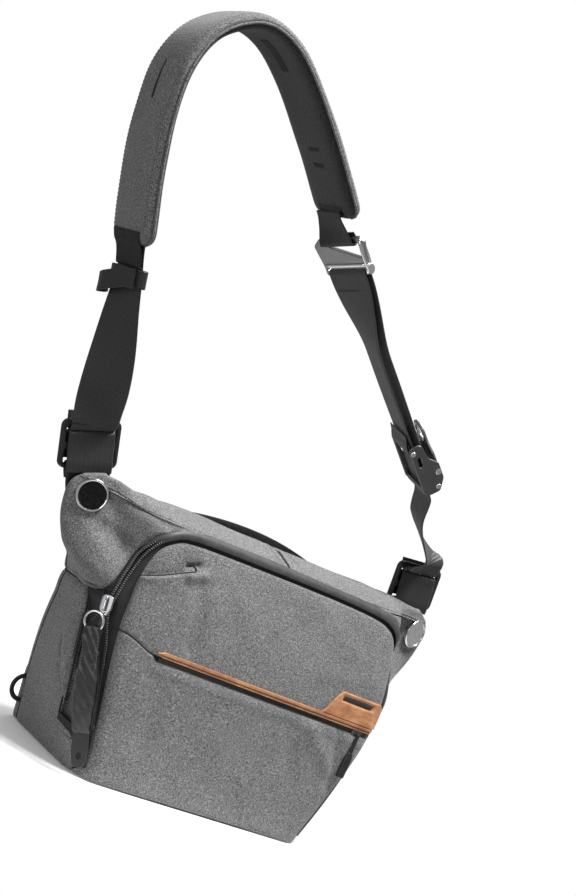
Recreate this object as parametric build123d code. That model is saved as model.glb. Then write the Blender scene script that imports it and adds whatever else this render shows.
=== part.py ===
from build123d import *
from math import atan2, cos, degrees, radians, sin
import os

# Small sling camera bag.  Millimetres.  The bag stands level on its base, which is at z = 0,
# with the origin at the centre of the base, +X to the right along the bag, -Y to the front
# and +Z up.  The shoulder strap stands up in an arch from two swivel discs.

os.makedirs("parts", exist_ok=True)

# ---- driving dimensions -------------------------------------------------------------------
WALL_BASE = 5.0            # fabric and stiffener of the base
FABRIC = 1.3               # face fabric
FOAM = 2.7                 # foam in the front flap
LINING = 0.8               # inner lining
FLAP_BACK_Y = -22.0        # nothing of the flap lies behind this
SIDE_SEAM_Z = 128.0        # seam between the side gusset and the wing
WING_ROOT_X = 134.0        # where the body narrows to a wing
POCKET_Z = 100.0           # middle of the front pocket's zip
POCKET_SLOT = 8.0          # height of the slot that the zip lies in
POCKET_LEFT, POCKET_RIGHT = -92.0, 122.0
TRIM_H = 4.0               # leather strip above the zip
LABEL_LEFT, LABEL_TOP = 78.0, 127.0
SLIDER_GAP = 0.3           # running clearance of a zip slider
CLOSING_GAP = 0.5          # between the two sides of the main zip
TEETH_W = 1.6

DISC_X, DISC_Y, DISC_Z = 166.0, -10.0, 186.0   # centre of a swivel disc on the wing's face
DISC_TURN = 15.0           # each wing's face turns outward by this many degrees
DISC_R, DISC_H = 12.25, 4.0
POST_R = 3.5
WING_T = 7.0               # wing thickness behind the disc
TAB_T = 1.8                # smooth webbing tab on the swivel
TAB_W = 34.0

WEB_W, WEB_T = 36.0, 1.8   # strap webbing
STRAP_Y = -8.0             # middle plane of the strap
BAR_R = 1.8                # bars that the tabs hinge on
BAR_Y = 3.0
BUCKLE_W, BUCKLE_H, BUCKLE_T, BUCKLE_RAIL = 47.0, 37.0, 4.4, 3.6
LEFT_BAR_X, LEFT_BAR_Z, LEFT_LEAN = -173.0, 203.0, 20.0
RIGHT_BAR_X, RIGHT_BAR_Z, RIGHT_LEAN = 158.0, 206.0, 7.0

PAD_W, PAD_T = 50.0, 9.0   # shoulder pad
PAD_SKIN, PAD_BACK = 1.5, 1.3

CAM_X, CAM_Z = 92.0, 316.0         # middle of the cam buckle
RUN_X, RUN_Z = -46.0, 421.0        # lower bar of the metal hook
RUN_TURN = 20.0            # turn of the webbing about its own length at the hook
CAM_TURN = -15.0           # and from the cam buckle up to the start of its twist
TWIST_LOW, TWIST_HIGH = 100.0, 170.0    # where the doubled webbing twists, along its length
CAM_L, CAM_PLATE = 46.0, 2.5
CAM_PIN_Y, CAM_PIN_OUT = -6.0, 9.3      # pin of the lever, along and out from the webbing
HOOK_BAR_R, LOOP_R = 2.0, 2.3


def mirrored_pair(points):
    """A closed 12-corner section from six corners of its right half."""
    left = [(-x, y) for x, y in reversed(points)]
    return points + left


def section(z, points):
    return Plane.XY.offset(z) * make_face(Polyline(*mirrored_pair(points), close=True))


def lofted(table):
    return loft([section(z, points) for z, points in table], ruled=True)


# Six corners of the right half at each height: front, front of the wing root, front and back
# of the side or wing tip, back of the wing root, back.
OUTER = [
    (0, [(96, -65), (105, -57), (110, -46), (110, 48), (105, 58), (96, 65)]),
    (40, [(108, -67), (116, -58), (121, -46), (121, 44), (116, 53), (106, 60)]),
    (80, [(117, -68), (126, -58), (131, -44), (131, 36), (125, 46), (113, 54)]),
    (125, [(122, -64), (135, -51), (142, -34), (142, 22), (132, 34), (114, 43)]),
    (150, [(122, -59), (140, -32), (170, -9), (170, -2), (140, 2), (116, 34)]),
    (172, [(121, -53), (140, -16.9), (180, -6.2), (180, 0.7), (140, -10), (117, 27)]),
    (186, [(120, -49), (140, -17), (182, -5.7), (182, 1.3), (140, -10), (118, 22)]),
    (197, [(118, -43), (140, -16), (177, -7), (177, -1.5), (140, -9.6), (117, 17)]),
    (204, [(112, -18), (140, -14.5), (162, -10.5), (162, -6), (140, -9.3), (112, 6)]),
]

INNER = [
    (WALL_BASE, [(91, -60), (99, -53), (103, -44), (103, 45), (99, 54), (91, 59)]),
    (40, [(103, -62), (110, -55), (115, -44), (115, 41), (110, 48), (101, 54)]),
    (80, [(112, -63), (120, -54), (125, -42), (125, 33), (119, 41), (108, 48)]),
    (125, [(117, -59), (127, -48), (133, -32), (133, 19), (126, 29), (109, 37)]),
    (150, [(115, -54), (124, -36), (129, -22), (129, -4), (124, 6), (108, 28)]),
    (186, [(112, -44), (121, -28), (126, -20), (126, -14), (121, -6), (108, 15)]),
    (195, [(106, -36), (116, -26), (120, -20), (120, -15), (116, -8), (104, 10)]),
]


def front_outline(points, radii):
    """A closed outline in the front view, as a face."""
    sketch = Plane.XZ * make_face(FilletPolyline(*points, radius=radii, close=True))
    return sketch


def front_prism(face):
    """The space in front of the flap's back limit, inside an outline."""
    return extrude(face.moved(Location((0, FLAP_BACK_Y, 0))), amount=90)


# Outlines in the front view: the flap's edge, the line of the zip's teeth and the outer edge
# of the zip's tape, all (x, z).
FLAP_EDGE = [(-104, 8), (-128, 105), (-133, 188), (128, 189.5), (128, 105), (104, 8)]
TEETH_LINE = [(-106, 6), (-134, 100), (-137.5, 192.5), (132, 194), (132, 105), (106, 6)]
TAPE_EDGE = [(-108, 4.9), (-147, 70), (-141, 196.5), (136, 198), (136, 105), (108, 4.9)]
FLAP_RADII = [3, 60, 34, 34, 60, 3]
TEETH_RADII = [3, 60, 36, 36, 60, 3]
TAPE_RADII = [3, 30, 38, 38, 60, 3]

outer = lofted(OUTER)
inner = lofted(INNER)
shell = outer - inner
flap_space = front_prism(front_outline(FLAP_EDGE, FLAP_RADII))
teeth_space = front_prism(front_outline(TEETH_LINE, TEETH_RADII))
tape_space = front_prism(front_outline(TAPE_EDGE, TAPE_RADII))


def block(x0, x1, y0, y1, z0, z1):
    size = Vector(x1 - x0, y1 - y0, z1 - z0)
    box = Box(size.X, size.Y, size.Z)
    return box.moved(Location(((x0 + x1) / 2, (y0 + y1) / 2, (z0 + z1) / 2)))


def tidy(shape, share=0.02):
    """The real solids of a cut, without the slivers that a cut leaves."""
    solids = shape.solids()
    largest = max(s.volume for s in solids)
    kept = [s for s in solids if s.volume > share * largest]
    return kept[0] if len(kept) == 1 else Compound(children=kept)


def layer(depth_0, depth_1):
    """The part of the front wall between two depths behind its face."""
    face = outer.moved(Location((0, depth_0, 0)))
    return face - outer.moved(Location((0, depth_1, 0)))


def save(name, shape):
    export_step(shape, f"parts/{name}.step")


# ---- the bag's body -----------------------------------------------------------------------
def make_body():
    body = shell - tape_space
    base = body & block(-200, 200, -100, 100, -1, WALL_BASE)
    save("base_panel", tidy(base & block(-200, 200, -100, 100, -1, 1.6)))
    save("base_board", tidy(base & block(-200, 200, -100, 100, 1.6, WALL_BASE)))
    rest = body - block(-200, 200, -100, 100, -1, WALL_BASE)
    back_space = block(-110, 110, 8, 100, 0, 182)
    save("back_panel", tidy(rest & back_space))
    rest = rest - back_space
    for side, name in ((-1, "left"), (1, "right")):
        gusset_space = block(0, 200, -100, 100, 0, SIDE_SEAM_Z)
        wing_space = block(WING_ROOT_X, 200, -100, 100, SIDE_SEAM_Z, 230)
        if side < 0:
            gusset_space = mirror(gusset_space, Plane.YZ)
            wing_space = mirror(wing_space, Plane.YZ)
        save(f"{name}_gusset", tidy(rest & gusset_space))
        wing = tidy(rest & wing_space)
        hole = disc_plane(side).location * Cylinder(POST_R + 0.1, 60)
        save(f"{name}_wing", tidy(wing - hole))
    yoke = rest & block(-WING_ROOT_X, WING_ROOT_X, -100, 100, SIDE_SEAM_Z, 230)
    save("top_yoke", tidy(yoke))


def make_rear_pocket():
    """Stash pocket behind the back panel, open along its arched top edge."""
    gap, skin = 0.8, 1.6
    line = [(66, 10), (60.8, 40), (54.8, 80), (43.8, 125), (34.8, 150), (22.8, 186), (15, 207.5)]
    near = [(y + gap, z) for y, z in line]
    far = [(y + gap + skin, z) for y, z in reversed(line)]
    side_face = Plane.YZ * make_face(Polyline(*(near + far), close=True))
    band = extrude(side_face, amount=82, both=True)
    edge = Polyline((-82, 196), (-82, 12), (82, 12), (82, 196))
    arch = ThreePointArc((82, 196), (0, 207), (-82, 196))
    front_face = Plane.XZ * make_face([edge, arch])
    save("rear_pocket", tidy(band & extrude(front_face, amount=90, both=True)))


def make_inside():
    """Two dividers with folding tops, and a slip pocket on the back wall."""
    board_t, low_z, fold_z, top_z = 5.0, 8.0, 100.0, 148.0
    for side, name in ((-1, "left"), (1, "right")):
        x = 40.0 * side
        board = Plane.YZ * make_face(
            Polyline((-54, low_z), (50, low_z), (40, fold_z - 2), (-56, fold_z - 2), close=True))
        save(f"divider_{name}", extrude(board.moved(Location((x, 0, 0))), board_t / 2, both=True))
        top = Plane.YZ * make_face(
            Polyline((-54, fold_z + 3.2), (34, fold_z + 3.2), (22, top_z), (-46, top_z), close=True))
        save(f"divider_{name}_top", extrude(top.moved(Location((x, 0, 0))), board_t / 2, both=True))
    slip = Plane.YZ * make_face(
        Polyline((54.0, 10), (55.2, 10), (42.8, 95), (41.6, 95), close=True))
    save("inner_slip_pocket", extrude(slip, amount=88, both=True))


# ---- the main zip -------------------------------------------------------------------------
def grown(points, by):
    """The teeth line moved outward on the flap's sides and top."""
    return [(x * (1 + by / 137), z + by * (z > 50)) for x, z in points]


def teeth_prism(by):
    return front_prism(front_outline(grown(TEETH_LINE, by), TEETH_RADII))


def make_main_zip():
    """Tape and teeth of the main zip, one side on the body and one on the flap."""
    above_fold = block(-200, 200, -100, 0, 10, 230)
    tape = layer(0.5, 1.6) & above_fold
    teeth = layer(0.0, 0.5) & above_fold
    flap_side = teeth_prism(-CLOSING_GAP)
    save("main_zip_tape_body", tidy(tape & (tape_space - teeth_space)))
    save("main_zip_tape_flap", tidy(tape & (flap_side - flap_space)))
    save("main_zip_teeth_body", tidy(teeth & (teeth_prism(TEETH_W) - teeth_space)))
    save("main_zip_teeth_flap", tidy(teeth & (flap_side - teeth_prism(-CLOSING_GAP - TEETH_W))))


# ---- the front flap -----------------------------------------------------------------------
def make_flap():
    flap = flap_space - block(-200, 200, -100, 0, -1, 8)
    face = layer(0, FABRIC) & flap
    slot_z0, slot_z1 = POCKET_Z - POCKET_SLOT / 2, POCKET_Z + POCKET_SLOT / 2
    trim = block(POCKET_LEFT, POCKET_RIGHT, -100, 0, slot_z1, slot_z1 + TRIM_H)
    slot = block(POCKET_LEFT, POCKET_RIGHT, -100, 0, slot_z0, slot_z1)
    save("flap_lower_panel", tidy((face - slot - trim) & block(-200, 200, -100, 0, 0, slot_z1)))
    save("flap_upper_panel", tidy((face - trim) & block(-200, 200, -100, 0, slot_z1, 230)))
    foam = layer(FABRIC + 0.6, FABRIC + FOAM) & flap
    save("flap_foam", tidy(foam))
    save("flap_lining", tidy(layer(FABRIC + FOAM, FABRIC + FOAM + LINING) & flap))
    back = layer(FABRIC, FABRIC + 0.6) & slot
    save("pocket_zip_tape", tidy(back))
    save("leather_trim", tidy((layer(-0.7, FABRIC) & trim)))
    save("leather_label", make_label(slot_z1 + TRIM_H))
    save("pocket_zip_teeth", make_pocket_teeth())


def front_y(z):
    """Depth of the bag's front face at a height between the 80 and 125 sections."""
    return -68.0 + (z - 80.0) * (4.0 / 45.0)


def make_label(z0):
    """Raised end of the leather strip, with a slot near its top."""
    points = [(LABEL_LEFT - 10, z0), (LABEL_LEFT, LABEL_TOP), (118, LABEL_TOP), (118, z0)]
    face = Plane.XZ * make_face(FilletPolyline(*points, radius=[0.8, 3, 3, 0.8], close=True))
    slab = extrude(face, amount=90) & layer(-1.6, -0.1)
    window = block(84, 113, -100, 0, LABEL_TOP - 6.5, LABEL_TOP - 3.5)
    return tidy(slab - window)


def make_pocket_teeth():
    y = front_y(POCKET_Z) + 0.4
    return block(POCKET_LEFT + 4, POCKET_RIGHT - 4, y, y + 0.6, POCKET_Z - 1.2, POCKET_Z + 1.2)


def make_pocket_slider():
    x, y = 108.0, front_y(POCKET_Z) + 0.4 - SLIDER_GAP
    slider = block(x - 5, x + 5, y - 2.2, y, POCKET_Z - 3.2, POCKET_Z + 3.2)
    save("pocket_zip_slider", slider)
    cord = block(x - 0.9, x + 2.9, y - 4.6, y - 2.5, 84.5, POCKET_Z - 0.5)
    save("pocket_pull_cord", cord)
    tab = block(x - 2.6, x + 4.6, y - 5.8, y - 2.3, 63, 84.2)
    save("pocket_pull_tab", fillet(tab.edges().filter_by(Axis.Z), 1.2))


# ---- the main zip's slider and pull -------------------------------------------------------
def frame_at(origin, along, facing):
    """A plane with its local z along `facing` and its local y along `along`."""
    y_dir = Vector(*along).normalized()
    z_dir = Vector(*facing)
    z_dir = (z_dir - y_dir * z_dir.dot(y_dir)).normalized()
    return Plane(origin=origin, x_dir=y_dir.cross(z_dir), z_dir=z_dir)


def make_main_slider():
    facing = (-0.74, -0.67, 0)
    track = frame_at((-139.2, -51.6, 121), (-0.03, 0.26, 0.96), facing)
    body = Box(9, 15, 3) - Box(3, 20, 1).moved(Location((0, 0, -1.6)))
    save("main_zip_slider", track.location * body)
    pull = frame_at((-144.6, -54.5, 108), (-23, 12.5, 76), facing)
    ring = extrude(Circle(8.0) - Circle(6.2), 0.9, both=True)
    save("main_pull_ring", pull.location * ring)
    strap = extrude(RectangleRounded(13, 63, 3), 1.2, both=True)
    save("main_pull_strap", pull.location * strap.moved(Location((0, -40.0, 0))))
    tail = RectangleRounded(11, 24, 4) - Pos(0, -6) * Circle(2.2)
    tail = extrude(tail, 0.8, both=True).moved(Location((0, -84, 0)))
    save("main_pull_tail", pull.location * tail)


# ---- swivel discs, tabs and buckles -------------------------------------------------------
def disc_plane(side):
    """Centre of a disc on the wing's face, with local z outward."""
    turn = radians(DISC_TURN)
    centre = (side * DISC_X, DISC_Y, DISC_Z)
    x_dir = (cos(turn), side * sin(turn), 0)
    return Plane(origin=centre, x_dir=x_dir, z_dir=(side * sin(turn), -cos(turn), 0))


def bar_plane(x, z, lean):
    """Middle of a buckle's lower bar: local x along the bar, local z to the front."""
    turn = radians(lean)
    return Plane(origin=(x, BAR_Y, z), x_dir=(cos(turn), 0, sin(turn)), z_dir=(0, -1, 0))


def make_anchor(side, name, bar):
    disc = disc_plane(side)
    tab_face = -(WING_T + 3.0)
    cap = Cylinder(DISC_R, DISC_H - 0.6).moved(Location((0, 0, DISC_H / 2 + 0.3)))
    cap = fillet(cap.edges().sort_by(Axis.Z)[-1], 1.2)
    save(f"{name}_disc_cap", disc.location * cap)
    post = Cylinder(POST_R, WING_T + 7.4).moved(Location((0, 0, -(WING_T + 7.4) / 2)))
    save(f"{name}_disc_post", disc.location * post)
    washer = Cylinder(9, 1.2) - Cylinder(POST_R + 0.1, 3)
    save(f"{name}_washer", disc.location * washer.moved(Location((0, 0, tab_face - TAB_T - 0.9))))
    make_tab(disc, tab_face, name, bar)


def make_tab(disc, tab_face, name, bar):
    """Folded webbing tab: a hole for the disc's post below, a loop for the buckle's bar above."""
    reach = bar.origin - disc.origin
    rise = Vector(reach.dot(disc.x_dir), reach.dot(disc.y_dir), 0)
    turn = degrees(atan2(-rise.X, rise.Y))
    plate = extrude(RectangleRounded(TAB_W, rise.length + 10, 4), -TAB_T)
    plate = plate.moved(Location((0, rise.length / 2 - 7.5, 0)))
    plate = (plate - Cylinder(POST_R + 0.1, 20)).rotate(Axis.Z, turn)
    plate = disc.location * plate.moved(Location((0, 0, tab_face)))
    ring = bar.location * Cylinder(BAR_R + 1.9, TAB_W).rotate(Axis.Y, 90)
    hole = bar.location * Cylinder(BAR_R + 0.1, TAB_W + 40).rotate(Axis.Y, 90)
    save(f"{name}_tab", tidy((plate + ring) - hole))


def make_buckle(name, bar):
    """Three-bar slide buckle.  Its lower bar is round and carries the tab."""
    mid = BUCKLE_H / 2 - BAR_R - 0.6
    plate = extrude(RectangleRounded(BUCKLE_W, BUCKLE_H, 5), BUCKLE_T / 2, both=True)
    plate = plate.moved(Location((0, mid, 0)))
    window_w = BUCKLE_W - 2 * BUCKLE_RAIL
    low = Box(window_w, 18.0, 10).moved(Location((0, 3.4, 0)))
    high = Box(window_w, 11.0, 10).moved(Location((0, 23.0, 0)))
    shaft = Cylinder(BAR_R, window_w + 2).rotate(Axis.Y, 90)
    save(f"{name}_buckle", bar.location * (plate - low - high + shaft))


# ---- strap --------------------------------------------------------------------------------
def strap_section(x, y, z, heading, twist, width, thick):
    """A cross-section of webbing whose length heads `heading` degrees from +X towards +Z."""
    run = Vector(cos(radians(heading)), 0, sin(radians(heading)))
    across = Vector(0, 1, 0).rotate(Axis((0, 0, 0), run), twist)
    return Plane(origin=(x, y, z), x_dir=across, z_dir=run) * Rectangle(width, thick)


def make_left_webbing():
    stops = [
        (-181, -3.4, 224, 110, 88), (-188, -5.4, 243, 109, 78), (-193, -7, 262, 107, 58),
        (-199.5, STRAP_Y, 286, 106, 38), (-207, STRAP_Y, 312, 106, 20),
        (-214, STRAP_Y, 338, 106, 6), (-219.5, STRAP_Y, 355, 107, 0),
    ]
    sections = [strap_section(*stop, WEB_W, WEB_T) for stop in stops]
    save("left_webbing", loft(sections, ruled=True))
    keeper = strap_section(-213.0, STRAP_Y, 334, 106, 7, WEB_W + 7, 10)
    keeper = keeper - strap_section(-213.0, STRAP_Y, 334, 106, 7, WEB_W + 3, 6.4)
    save("keeper_loop", extrude(keeper, amount=9))


PAD_LINE = [(-221.5, 361), (-239, 409), (-250, 450), (-253, 486), (-243, 516), (-218, 536.5),
            (-190, 537), (-160, 522), (-118, 490), (-81, 458)]


def pad_edge(offset):
    """The pad's centre line moved sideways, positive to the outside of the arch."""
    line = Spline(*PAD_LINE)
    steps = [i / 14 for i in range(15)]
    points = []
    for step in steps:
        run = line % step
        points.append(line @ step + Vector(-run.Y, run.X) * offset)
    return points


def pad_layer(low, high, width):
    near = Spline(*pad_edge(low))
    far = Spline(*pad_edge(high))
    face = make_face([near, far, Line(near @ 0, far @ 0), Line(near @ 1, far @ 1)])
    band = extrude(Plane.XZ * face, width / 2, both=True)
    return band.moved(Location((0, STRAP_Y, 0)))


def make_pad():
    outside, inside = PAD_T / 2, -PAD_T / 2
    save("pad_cover", pad_layer(outside - PAD_SKIN, outside, PAD_W))
    save("pad_foam", pad_layer(inside + PAD_BACK, outside - PAD_SKIN, PAD_W - 3))
    save("pad_lining", pad_layer(inside, inside + PAD_BACK, PAD_W))
    save("pad_end_webbing", make_tongue())


def make_tongue():
    """Webbing from the pad's right end, down past the inner side of the hook's upper bar."""
    run = run_plane().location
    top = run_length()
    stops = [(49.6, 4.0, -41, 0), (34.5, -5.4, -48, -14), (22, -6.8, -37.3, -RUN_TURN)]
    sections = []
    for up, out, heading, twist in stops:
        point = (run * Location((0, top + up, out))).position
        sections.append(strap_section(point.X, STRAP_Y, point.Z, heading, twist, WEB_W, WEB_T))
    return loft(sections, ruled=True)


def run_plane(turn=RUN_TURN):
    """The doubled webbing: local y from the cam buckle up to the hook, local z outward."""
    start, end = Vector(CAM_X, STRAP_Y, CAM_Z), Vector(RUN_X, STRAP_Y, RUN_Z)
    along = (end - start).normalized()
    across = Vector(0, 1, 0).rotate(Axis((0, 0, 0), along), turn)
    return Plane(origin=start, x_dir=across, z_dir=across.cross(along))


def run_length():
    return (Vector(CAM_X, 0, CAM_Z) - Vector(RUN_X, 0, RUN_Z)).length


def strand(low, out):
    """One strand of the doubled webbing, from `low` up to the end of its twist."""
    sections = []
    stops = [low] + [TWIST_LOW + k * (TWIST_HIGH - TWIST_LOW) / 7 for k in range(8)]
    for y in stops:
        share = max(0.0, (y - TWIST_LOW) / (TWIST_HIGH - TWIST_LOW))
        share = share * share * (3 - 2 * share)
        frame = run_plane(CAM_TURN + (RUN_TURN - CAM_TURN) * share)
        middle = frame.origin + frame.y_dir * y + frame.z_dir * out
        sections.append(Plane(middle, x_dir=frame.x_dir, z_dir=frame.y_dir) * Rectangle(WEB_W, WEB_T))
    return loft(sections, ruled=True)


def make_doubled_webbing():
    """Webbing that goes up to the hook's lower bar, round it and back down."""
    top = run_length()
    far = LOOP_R + WEB_T
    middle = LOOP_R + WEB_T / 2
    upright = Rectangle(WEB_T, top - TWIST_HIGH, align=(Align.CENTER, Align.MIN))
    profile = upright.moved(Location((-middle, TWIST_HIGH, 0)))
    profile += upright.moved(Location((middle, TWIST_HIGH, 0)))
    ring = Circle(far) - Circle(LOOP_R) - Rectangle(20, 20, align=(Align.CENTER, Align.MAX))
    profile += ring.moved(Location((0, top, 0)))
    web = extrude(profile, WEB_W / 2, both=True)
    side_on = Plane(origin=(0, 0, 0), x_dir=(0, 0, 1), z_dir=(-1, 0, 0))
    loop = run_plane().location * (side_on.location * web)
    save("doubled_webbing", loop + strand(-30.0, -middle) + strand(-18.0, middle))


def make_cam_buckle():
    place = run_plane(CAM_TURN).location
    inside = WEB_W / 2 + 1.0
    plates = []
    for side in (-1, 1):
        plate = extrude(RectangleRounded(20, CAM_L, 5), CAM_PLATE)
        edge = inside if side > 0 else -inside - CAM_PLATE
        plates.append(plate.rotate(Axis.Y, 90).moved(Location((edge, 0, 2))))
    width = 2 * inside
    bars = [
        Box(width, 6, 1.8).moved(Location((0, -19, -6.4))),
        Box(width, 6, 1.8).moved(Location((0, 19, -6.4))),
        Box(width, 5, 1.8).moved(Location((0, -19.5, 6.4))),
    ]
    frame = plates[0] + plates[1] + bars[0] + bars[1] + bars[2]
    pin_place = Location((0, CAM_PIN_Y, CAM_PIN_OUT))
    frame = frame - Cylinder(1.52, 80).rotate(Axis.Y, 90).moved(pin_place)
    save("cam_buckle", place * frame)
    pin = Cylinder(1.5, width + 2 * CAM_PLATE + 1.6).rotate(Axis.Y, 90)
    save("cam_pin", place * pin.moved(pin_place))
    make_cam_lever(place * pin_place)


def make_cam_lever(place):
    """Lever with a finger ring, turning on the cam pin."""
    hub = Cylinder(3.2, 33).rotate(Axis.Y, 90)
    plate = Box(33, 24, 2).moved(Location((0, 11.5, 2.2)))
    ring = (Cylinder(9.5, 2) - Cylinder(6.5, 4)).moved(Location((0, 28.5, 2.2)))
    lever = hub + (plate - Cylinder(6.5, 12).moved(Location((0, 28.5, 0)))) + ring
    lever = lever - Cylinder(1.58, 60).rotate(Axis.Y, 90)
    save("cam_lever", place * lever)


def make_hook():
    """Open-sided plate hook: the doubled webbing on its lower bar, the pad's loop on the upper."""
    place = run_plane().location
    outline = [
        (21.5, -1.5), (-21.5, -1.5), (-21.5, 14), (-25, 26),
        (-21, 30), (18, 30), (25, 24), (21.5, 6),
    ]
    plate = extrude(make_face(Polyline(*outline, close=True)), 2.0, both=True)
    low_window = Box(39, 15.6, 10).moved(Location((0, -2.2, 0)))
    high = [(18.5, 24.5), (-19, 25.5), (-19, 12.5)]
    high_window = extrude(make_face(Polyline(*high, close=True)), 5, both=True)
    bar = Cylinder(HOOK_BAR_R, 40).rotate(Axis.Y, 90)
    hook = plate - low_window - high_window + bar
    save("metal_hook", place * hook.moved(Location((0, run_length(), 0))))


def make_right_webbing():
    lower = run_plane(CAM_TURN)
    start = lower.origin - lower.y_dir * 30.4 - lower.z_dir * (LOOP_R + WEB_T / 2)
    stops = [
        (start.X, start.Y, start.Z, -37, -CAM_TURN), (120, -8, 272, -42, 22),
        (136, -7.5, 258, -56, 31), (147.5, -7, 249, -70, 42), (152.2, -6.5, 242, -80, 62),
        (154.6, -5, 229, -83, 88),
    ]
    sections = [strap_section(*stop, WEB_W, WEB_T) for stop in stops]
    save("right_webbing", loft(sections, ruled=True))


# ---- small loops --------------------------------------------------------------------------
def make_accessory_loops():
    """Carry-strap loops at the lower back corners."""
    for side, name in ((-1, "left"), (1, "right")):
        loop = Circle(11) - Circle(8.4) - Rectangle(30, 30, align=(Align.MIN, Align.CENTER))
        loop = extrude(Plane.XZ * loop, 2, both=True)
        if side > 0:
            loop = mirror(loop, Plane.YZ)
        place = Location((side * 117.2, 44, 26))
        save(f"accessory_loop_{name}", loop.moved(place) - outer)


left_bar = bar_plane(LEFT_BAR_X, LEFT_BAR_Z, LEFT_LEAN)
right_bar = bar_plane(RIGHT_BAR_X, RIGHT_BAR_Z, RIGHT_LEAN)

make_body()
make_rear_pocket()
make_inside()
make_main_zip()
make_flap()
make_pocket_slider()
make_main_slider()
make_anchor(-1, "left", left_bar)
make_anchor(1, "right", right_bar)
make_buckle("left", left_bar)
make_buckle("right", right_bar)
make_left_webbing()
make_pad()
make_doubled_webbing()
make_cam_buckle()
make_hook()
make_right_webbing()
make_accessory_loops()
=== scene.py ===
import math

import bmesh
import bpy
import numpy as np
from mathutils import Matrix, Vector


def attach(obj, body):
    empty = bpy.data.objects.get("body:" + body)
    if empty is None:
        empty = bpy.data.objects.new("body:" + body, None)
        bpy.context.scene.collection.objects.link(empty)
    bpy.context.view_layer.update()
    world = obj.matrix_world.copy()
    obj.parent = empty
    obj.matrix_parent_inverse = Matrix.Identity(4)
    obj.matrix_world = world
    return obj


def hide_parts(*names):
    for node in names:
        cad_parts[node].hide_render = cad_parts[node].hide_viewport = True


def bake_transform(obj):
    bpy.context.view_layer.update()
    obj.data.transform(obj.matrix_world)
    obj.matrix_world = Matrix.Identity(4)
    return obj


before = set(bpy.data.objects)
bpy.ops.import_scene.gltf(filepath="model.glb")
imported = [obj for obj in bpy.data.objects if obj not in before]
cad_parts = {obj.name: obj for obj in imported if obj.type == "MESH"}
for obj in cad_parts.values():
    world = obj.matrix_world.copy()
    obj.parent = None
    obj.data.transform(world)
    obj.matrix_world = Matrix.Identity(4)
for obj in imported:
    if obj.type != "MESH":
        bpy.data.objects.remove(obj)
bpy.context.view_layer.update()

# Small sling camera bag.  Points are worked out in millimetres, in the part's own frame, and
# become metres when a mesh is made.
scene = bpy.context.scene
MM = 0.001


# ---- mesh helpers -------------------------------------------------------------------------
def circle(count):
    """Angles of evenly spaced points round a circle."""
    return np.linspace(0, 2 * math.pi, count, endpoint=False)


def new_object(name, mesh):
    mesh.shade_smooth()
    obj = bpy.data.objects.new(name, mesh)
    scene.collection.objects.link(obj)
    return obj


def mesh_object(name, points, faces, uv=None):
    """An object from points in millimetres; `uv` holds weave lengths for each point."""
    mesh = bpy.data.meshes.new(name)
    mesh.from_pydata((np.asarray(points, float) * MM).tolist(), [], faces)
    mesh.validate()
    if uv is not None:
        index = np.zeros(len(mesh.loops), np.int32)
        mesh.loops.foreach_get("vertex_index", index)
        layer = mesh.uv_layers.new(name="weave")
        layer.data.foreach_set("uv", (np.asarray(uv, float)[index] * MM).ravel())
    return new_object(name, mesh)


def grid_faces(rows, cols, start=0, wrap=False, flip=False):
    faces = []
    for i in range(rows - 1):
        for j in range(cols if wrap else cols - 1):
            k = (j + 1) % cols
            quad = (start + i * cols + j, start + i * cols + k,
                    start + (i + 1) * cols + k, start + (i + 1) * cols + j)
            faces.append(quad[::-1] if flip else quad)
    return faces


def unit(v):
    v = np.asarray(v, float)
    return v / np.maximum(np.linalg.norm(v, axis=-1, keepdims=True), 1e-12)


def grid_normals(p):
    """Unit normals of a grid of points: the way its columns run, crossed with its rows."""
    return unit(np.cross(np.gradient(p, axis=1), np.gradient(p, axis=0)))


def grid_uv(p):
    """Lengths along a grid's rows and columns, in millimetres."""
    across = np.linalg.norm(np.diff(p, axis=1), axis=2).cumsum(1)
    across = np.concatenate([np.zeros((p.shape[0], 1)), across], 1)
    across = across - across[:, [p.shape[1] // 2]]
    up = np.linalg.norm(np.diff(p, axis=0), axis=2).cumsum(0)
    up = np.concatenate([np.zeros((1, p.shape[1])), up], 0)
    return np.stack([across, np.broadcast_to(up.mean(1, keepdims=True), across.shape)], 2)


def shell(name, front, normals, thick, crease=60):
    """A closed sheet: a front grid, a back grid `thick` behind it and walls round the edge."""
    rows, cols = front.shape[:2]
    back = front - normals * thick
    n = rows * cols
    faces = grid_faces(rows, cols) + grid_faces(rows, cols, n, flip=True)
    rim = ([j for j in range(cols)] + [i * cols + cols - 1 for i in range(1, rows)]
           + [(rows - 1) * cols + j for j in range(cols - 2, -1, -1)]
           + [i * cols for i in range(rows - 2, 0, -1)])
    for a, b in zip(rim, rim[1:] + rim[:1]):
        faces.append((b, a, a + n, b + n))
    flat = grid_uv(front).reshape(-1, 2)
    both = np.concatenate([flat, flat])
    points = np.concatenate([front.reshape(-1, 3), back.reshape(-1, 3)])
    return auto_smooth(mesh_object(name, points, faces, both), crease)


def catmull(points, steps):
    """A smooth line through points, each a row of any length."""
    p = np.asarray(points, float)
    p = np.concatenate([[2 * p[0] - p[1]], p, [2 * p[-1] - p[-2]]])
    out = []
    for a, b, c, d in zip(p, p[1:], p[2:], p[3:]):
        for t in np.arange(steps) / steps:
            out.append(0.5 * (2 * b + (c - a) * t + (2 * a - 5 * b + 4 * c - d) * t * t
                              + (3 * b - a - 3 * c + d) * t ** 3))
    return np.array(out + [p[-2]])


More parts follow.
